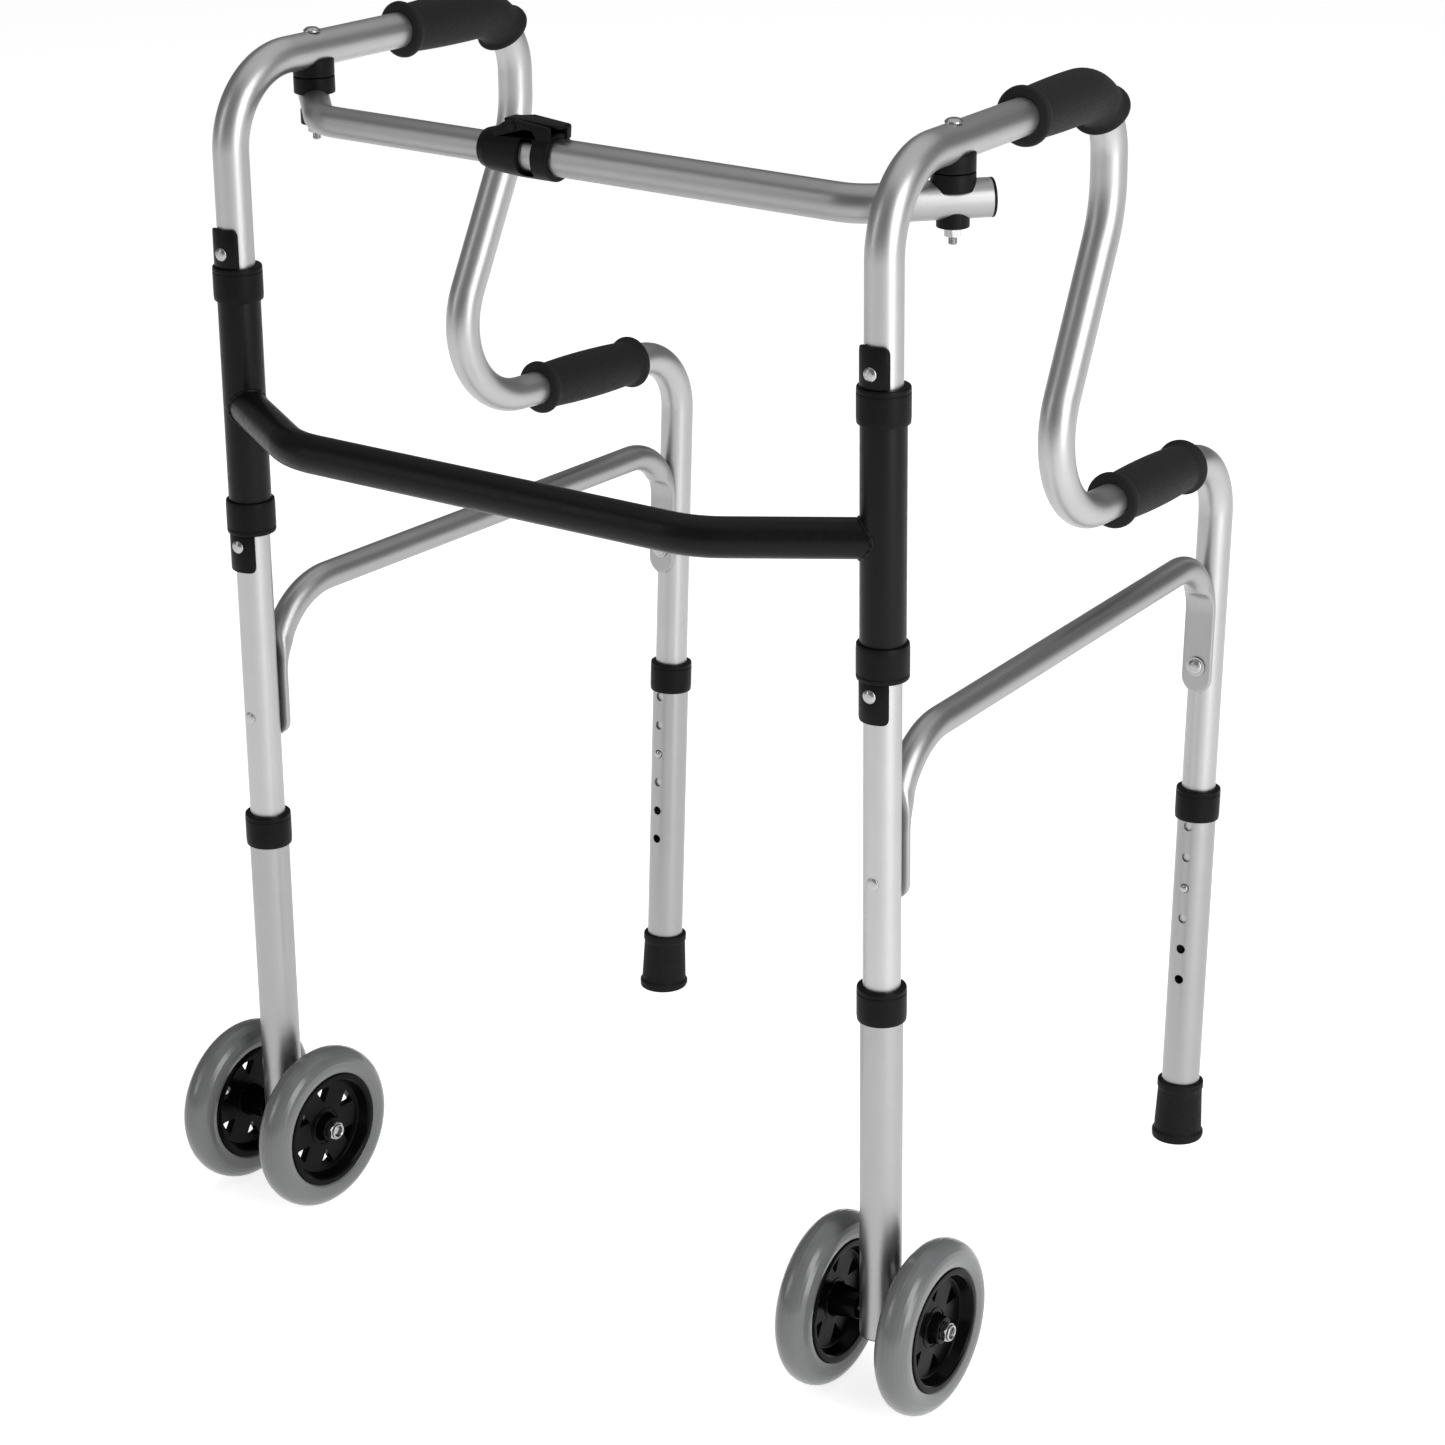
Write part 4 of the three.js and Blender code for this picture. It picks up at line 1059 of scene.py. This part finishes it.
def build_cross_brace():
    piece("front_cross_brace", cross_brace(), "powder", "front_brace")
    for side, prefix in ((1, "left"), (-1, "right")):
        at_leg = Matrix.Translation((side * HALF_WIDTH, 0, 0))
        piece(f"{prefix}_upper_sleeve_collar", collar(SLEEVE_COLLAR_RADIUS, SLEEVE_RADIUS), "plastic",
              "front_brace", at_leg @ Matrix.Translation((0, 0, SLEEVE_TOP + 3.4 - COLLAR_HEIGHT)))
        upside_down = Matrix.Rotation(math.pi, 4, "X")
        turned = Matrix.Translation((0, 0, SLEEVE_BOTTOM - 3.4 + COLLAR_HEIGHT)) @ upside_down
        piece(f"{prefix}_lower_sleeve_collar", collar(SLEEVE_COLLAR_RADIUS, SLEEVE_RADIUS), "plastic",
              "front_brace", at_leg @ turned)


def build_pivot(side, prefix, radius, bar_body):
    """The saddles, bolt and nut where an end of the upper bar hangs under a handle tube."""
    at_pivot = Matrix.Translation((side * pivot_x, pivot_y, 0))
    toed = at_pivot @ Matrix.Rotation(side * TOE_IN, 4, "Z")
    along_bar = at_pivot @ Matrix.Rotation(side * bar_angle, 4, "Z")
    swivel = SWIVEL_HEIGHT + 0.7
    handle = Vector((0, 1, -TOP_SLOPE)).normalized()
    piece(f"{prefix}_frame_saddle",
          saddle(swivel, 871.0, SADDLE_RADIUS, tube_cutter(TUBE_RADIUS, top_z(BAR_PIVOT_Y), handle)),
          "plastic", f"{prefix}_side", toed)
    piece(f"{prefix}_bar_saddle",
          saddle(846.5, SWIVEL_HEIGHT, SADDLE_RADIUS, tube_cutter(radius, BAR_HEIGHT, X_AXIS)),
          "plastic", bar_body, along_bar)
    under = BAR_HEIGHT - radius - 5
    piece(f"{prefix}_lower_saddle",
          saddle(under, under + 10.5, 11.0, tube_cutter(radius, BAR_HEIGHT, X_AXIS)),
          "plastic", bar_body, along_bar)
    head = top_z(BAR_PIVOT_Y) + TUBE_RADIUS - 0.2
    thread_bottom = under - 12.0
    bolt = domed_head(head, 6.3, 3.4, 3.0, head - 4.0)
    shank_top = head - 3.0 if side > 0 else SWIVEL_HEIGHT - 1.0
    rod = spun([(0, -shank_top, 0), (3.0, -shank_top, 0)] + threaded_end(3.0, -under - 1.0, -thread_bottom),
               0.1, count=40, steps=1)
    rod.transform(Matrix.Rotation(math.pi, 4, "X"))
    nut = moved(hex_nut(11.0, 6.0, 3.0), z=under - 6.3)
    if side > 0:
        piece(f"{prefix}_bar_bolt", joined(bolt, rod), "zinc", f"{prefix}_side", at_pivot)
        piece(f"{prefix}_bar_nut", nut, "zinc", "bar_pivot", at_pivot)
    else:
        piece(f"{prefix}_bar_bolt", bolt, "zinc", f"{prefix}_side", at_pivot)
        piece(f"{prefix}_bar_bolt_end", joined(rod, nut), "zinc", bar_body, at_pivot)


def build_upper_bar():
    at_bar = Matrix.Translation((0, 0, BAR_HEIGHT))
    at_latch = at_bar @ Matrix.Translation((0, bar_y, 0))
    thick_path = bar_path(1, 25.0, THICK_BAR_END)
    thin_path = bar_path(-1, 17.0, THIN_BAR_END)
    # The bar tubes take the darker aluminium copy, which is painted shade.
    piece("upper_bar_thick_tube", tube(thick_path, Z_AXIS, TUBE_RADIUS, THIN_BAR_RADIUS + 0.4),
          "bar_aluminium_painted_shade", "thick_bar", at_bar)
    piece("upper_bar_thin_tube", tube(thin_path, Z_AXIS, THIN_BAR_RADIUS, THIN_BAR_BORE),
          "bar_aluminium_painted_shade", "thin_bar", at_bar)
    piece("thick_tube_cap", end_cap(thick_path, TUBE_RADIUS, THIN_BAR_RADIUS + 0.4), "plastic",
          "thick_bar", at_bar, replaces=False)
    piece("thin_tube_cap", end_cap(thin_path, THIN_BAR_RADIUS, THIN_BAR_BORE), "plastic",
          "thin_bar", at_bar, replaces=False)
    piece("latch_housing", latch_housing(), "plastic", "thick_bar", at_latch)
    piece("latch_lever", latch_lever(), "plastic", "lever", at_latch @ Matrix.Translation(LATCH_PIVOT))
    plug_radius, plug_length = THIN_BAR_BORE - 0.3, 18
    plug = about_x(spun([
        (0, 0, 0), (plug_radius, 0, 1.0), (plug_radius, plug_length, 1.0), (0, plug_length, 0),
    ], 0.5, count=48))
    piece("thin_bar_plug", plug, "plastic", "bar_plug",
          at_latch @ Matrix.Translation((THIN_BAR_END - plug_length, 0, 0)))
    build_pivot(1, "left", TUBE_RADIUS, "thick_bar")
    build_pivot(-1, "right", THIN_BAR_RADIUS, "thin_bar")


build_cross_brace()
for side_sign, side_prefix in ((1, "left"), (-1, "right")):
    build_side(side_sign, side_prefix)
build_upper_bar()


# ---------------------------------------------------------------- camera, floor and light

def add_camera():
    """A long lens that stands to the front right and looks down at the frame."""
    azimuth, elevation, roll = math.radians(35.68), math.radians(21.22), math.radians(-0.68)
    place = ROW @ Vector((1629.7, -2066.5, 1465.5))
    forward = Vector((-math.sin(azimuth) * math.cos(elevation), math.cos(azimuth) * math.cos(elevation),
                      -math.sin(elevation)))
    right = Vector((math.cos(azimuth), math.sin(azimuth), 0))
    up = right.cross(forward)
    tilted_right = right * math.cos(roll) + up * math.sin(roll)
    tilted_up = up * math.cos(roll) - right * math.sin(roll)
    camera = bpy.data.cameras.new("camera")
    camera.sensor_width = 36.0
    camera.lens = 99.95
    camera.clip_end = 60.0
    obj = bpy.data.objects.new("camera", camera)
    bpy.context.scene.collection.objects.link(obj)
    turn = Matrix((tilted_right, tilted_up, -forward)).transposed().to_4x4()
    obj.matrix_world = Matrix.Translation(place) @ turn
    bpy.context.scene.camera = obj


def add_floor():
    bm = bmesh.new()
    bmesh.ops.create_grid(bm, x_segments=8, y_segments=8, size=15.0)
    mesh = bpy.data.meshes.new("studio_floor")
    bm.to_mesh(mesh)
    bm.free()
    material = bpy.data.materials.new("studio_floor")
    material.use_nodes = True
    shader = material.node_tree.nodes["Principled BSDF"]
    shader.inputs["Base Color"].default_value = (0.86, 0.86, 0.86, 1.0)
    shader.inputs["Roughness"].default_value = 0.75
    shader.inputs["Specular IOR Level"].default_value = 0.1
    shader.inputs["Emission Color"].default_value = (1.0, 1.0, 1.0, 1.0)
    shader.inputs["Emission Strength"].default_value = 0.74
    mesh.materials.append(material)
    obj = bpy.data.objects.new("studio_floor", mesh)
    obj.location.z = -0.0002
    bpy.context.scene.collection.objects.link(obj)


def add_softbox(name, place, aim, width, height, watts):
    light = bpy.data.lights.new(name, "AREA")
    light.shape = "RECTANGLE"
    light.size = width
    light.size_y = height
    light.energy = watts
    obj = bpy.data.objects.new(name, light)
    obj.location = place
    obj.rotation_euler = (Vector(aim) - Vector(place)).to_track_quat("-Z", "Y").to_euler()
    bpy.context.scene.collection.objects.link(obj)


def add_world():
    world = bpy.data.worlds.new("studio")
    world.use_nodes = True
    background = world.node_tree.nodes["Background"]
    background.inputs["Color"].default_value = (0.80, 0.80, 0.80, 1.0)
    background.inputs["Strength"].default_value = 0.26
    bpy.context.scene.world = world


add_camera()
add_floor()
add_world()
add_softbox("key", (2.6, -0.7, 1.5), (0, 0, 0.5), 1.3, 2.6, 62)
add_softbox("top", (0.0, 0.4, 3.6), (0, 0, 0), 4.4, 4.4, 42)
add_softbox("strip", (-1.7, -2.4, 1.7), (0, -0.1, 0.3), 0.14, 2.0, 9)
bpy.context.scene.view_settings.view_transform = "Standard"
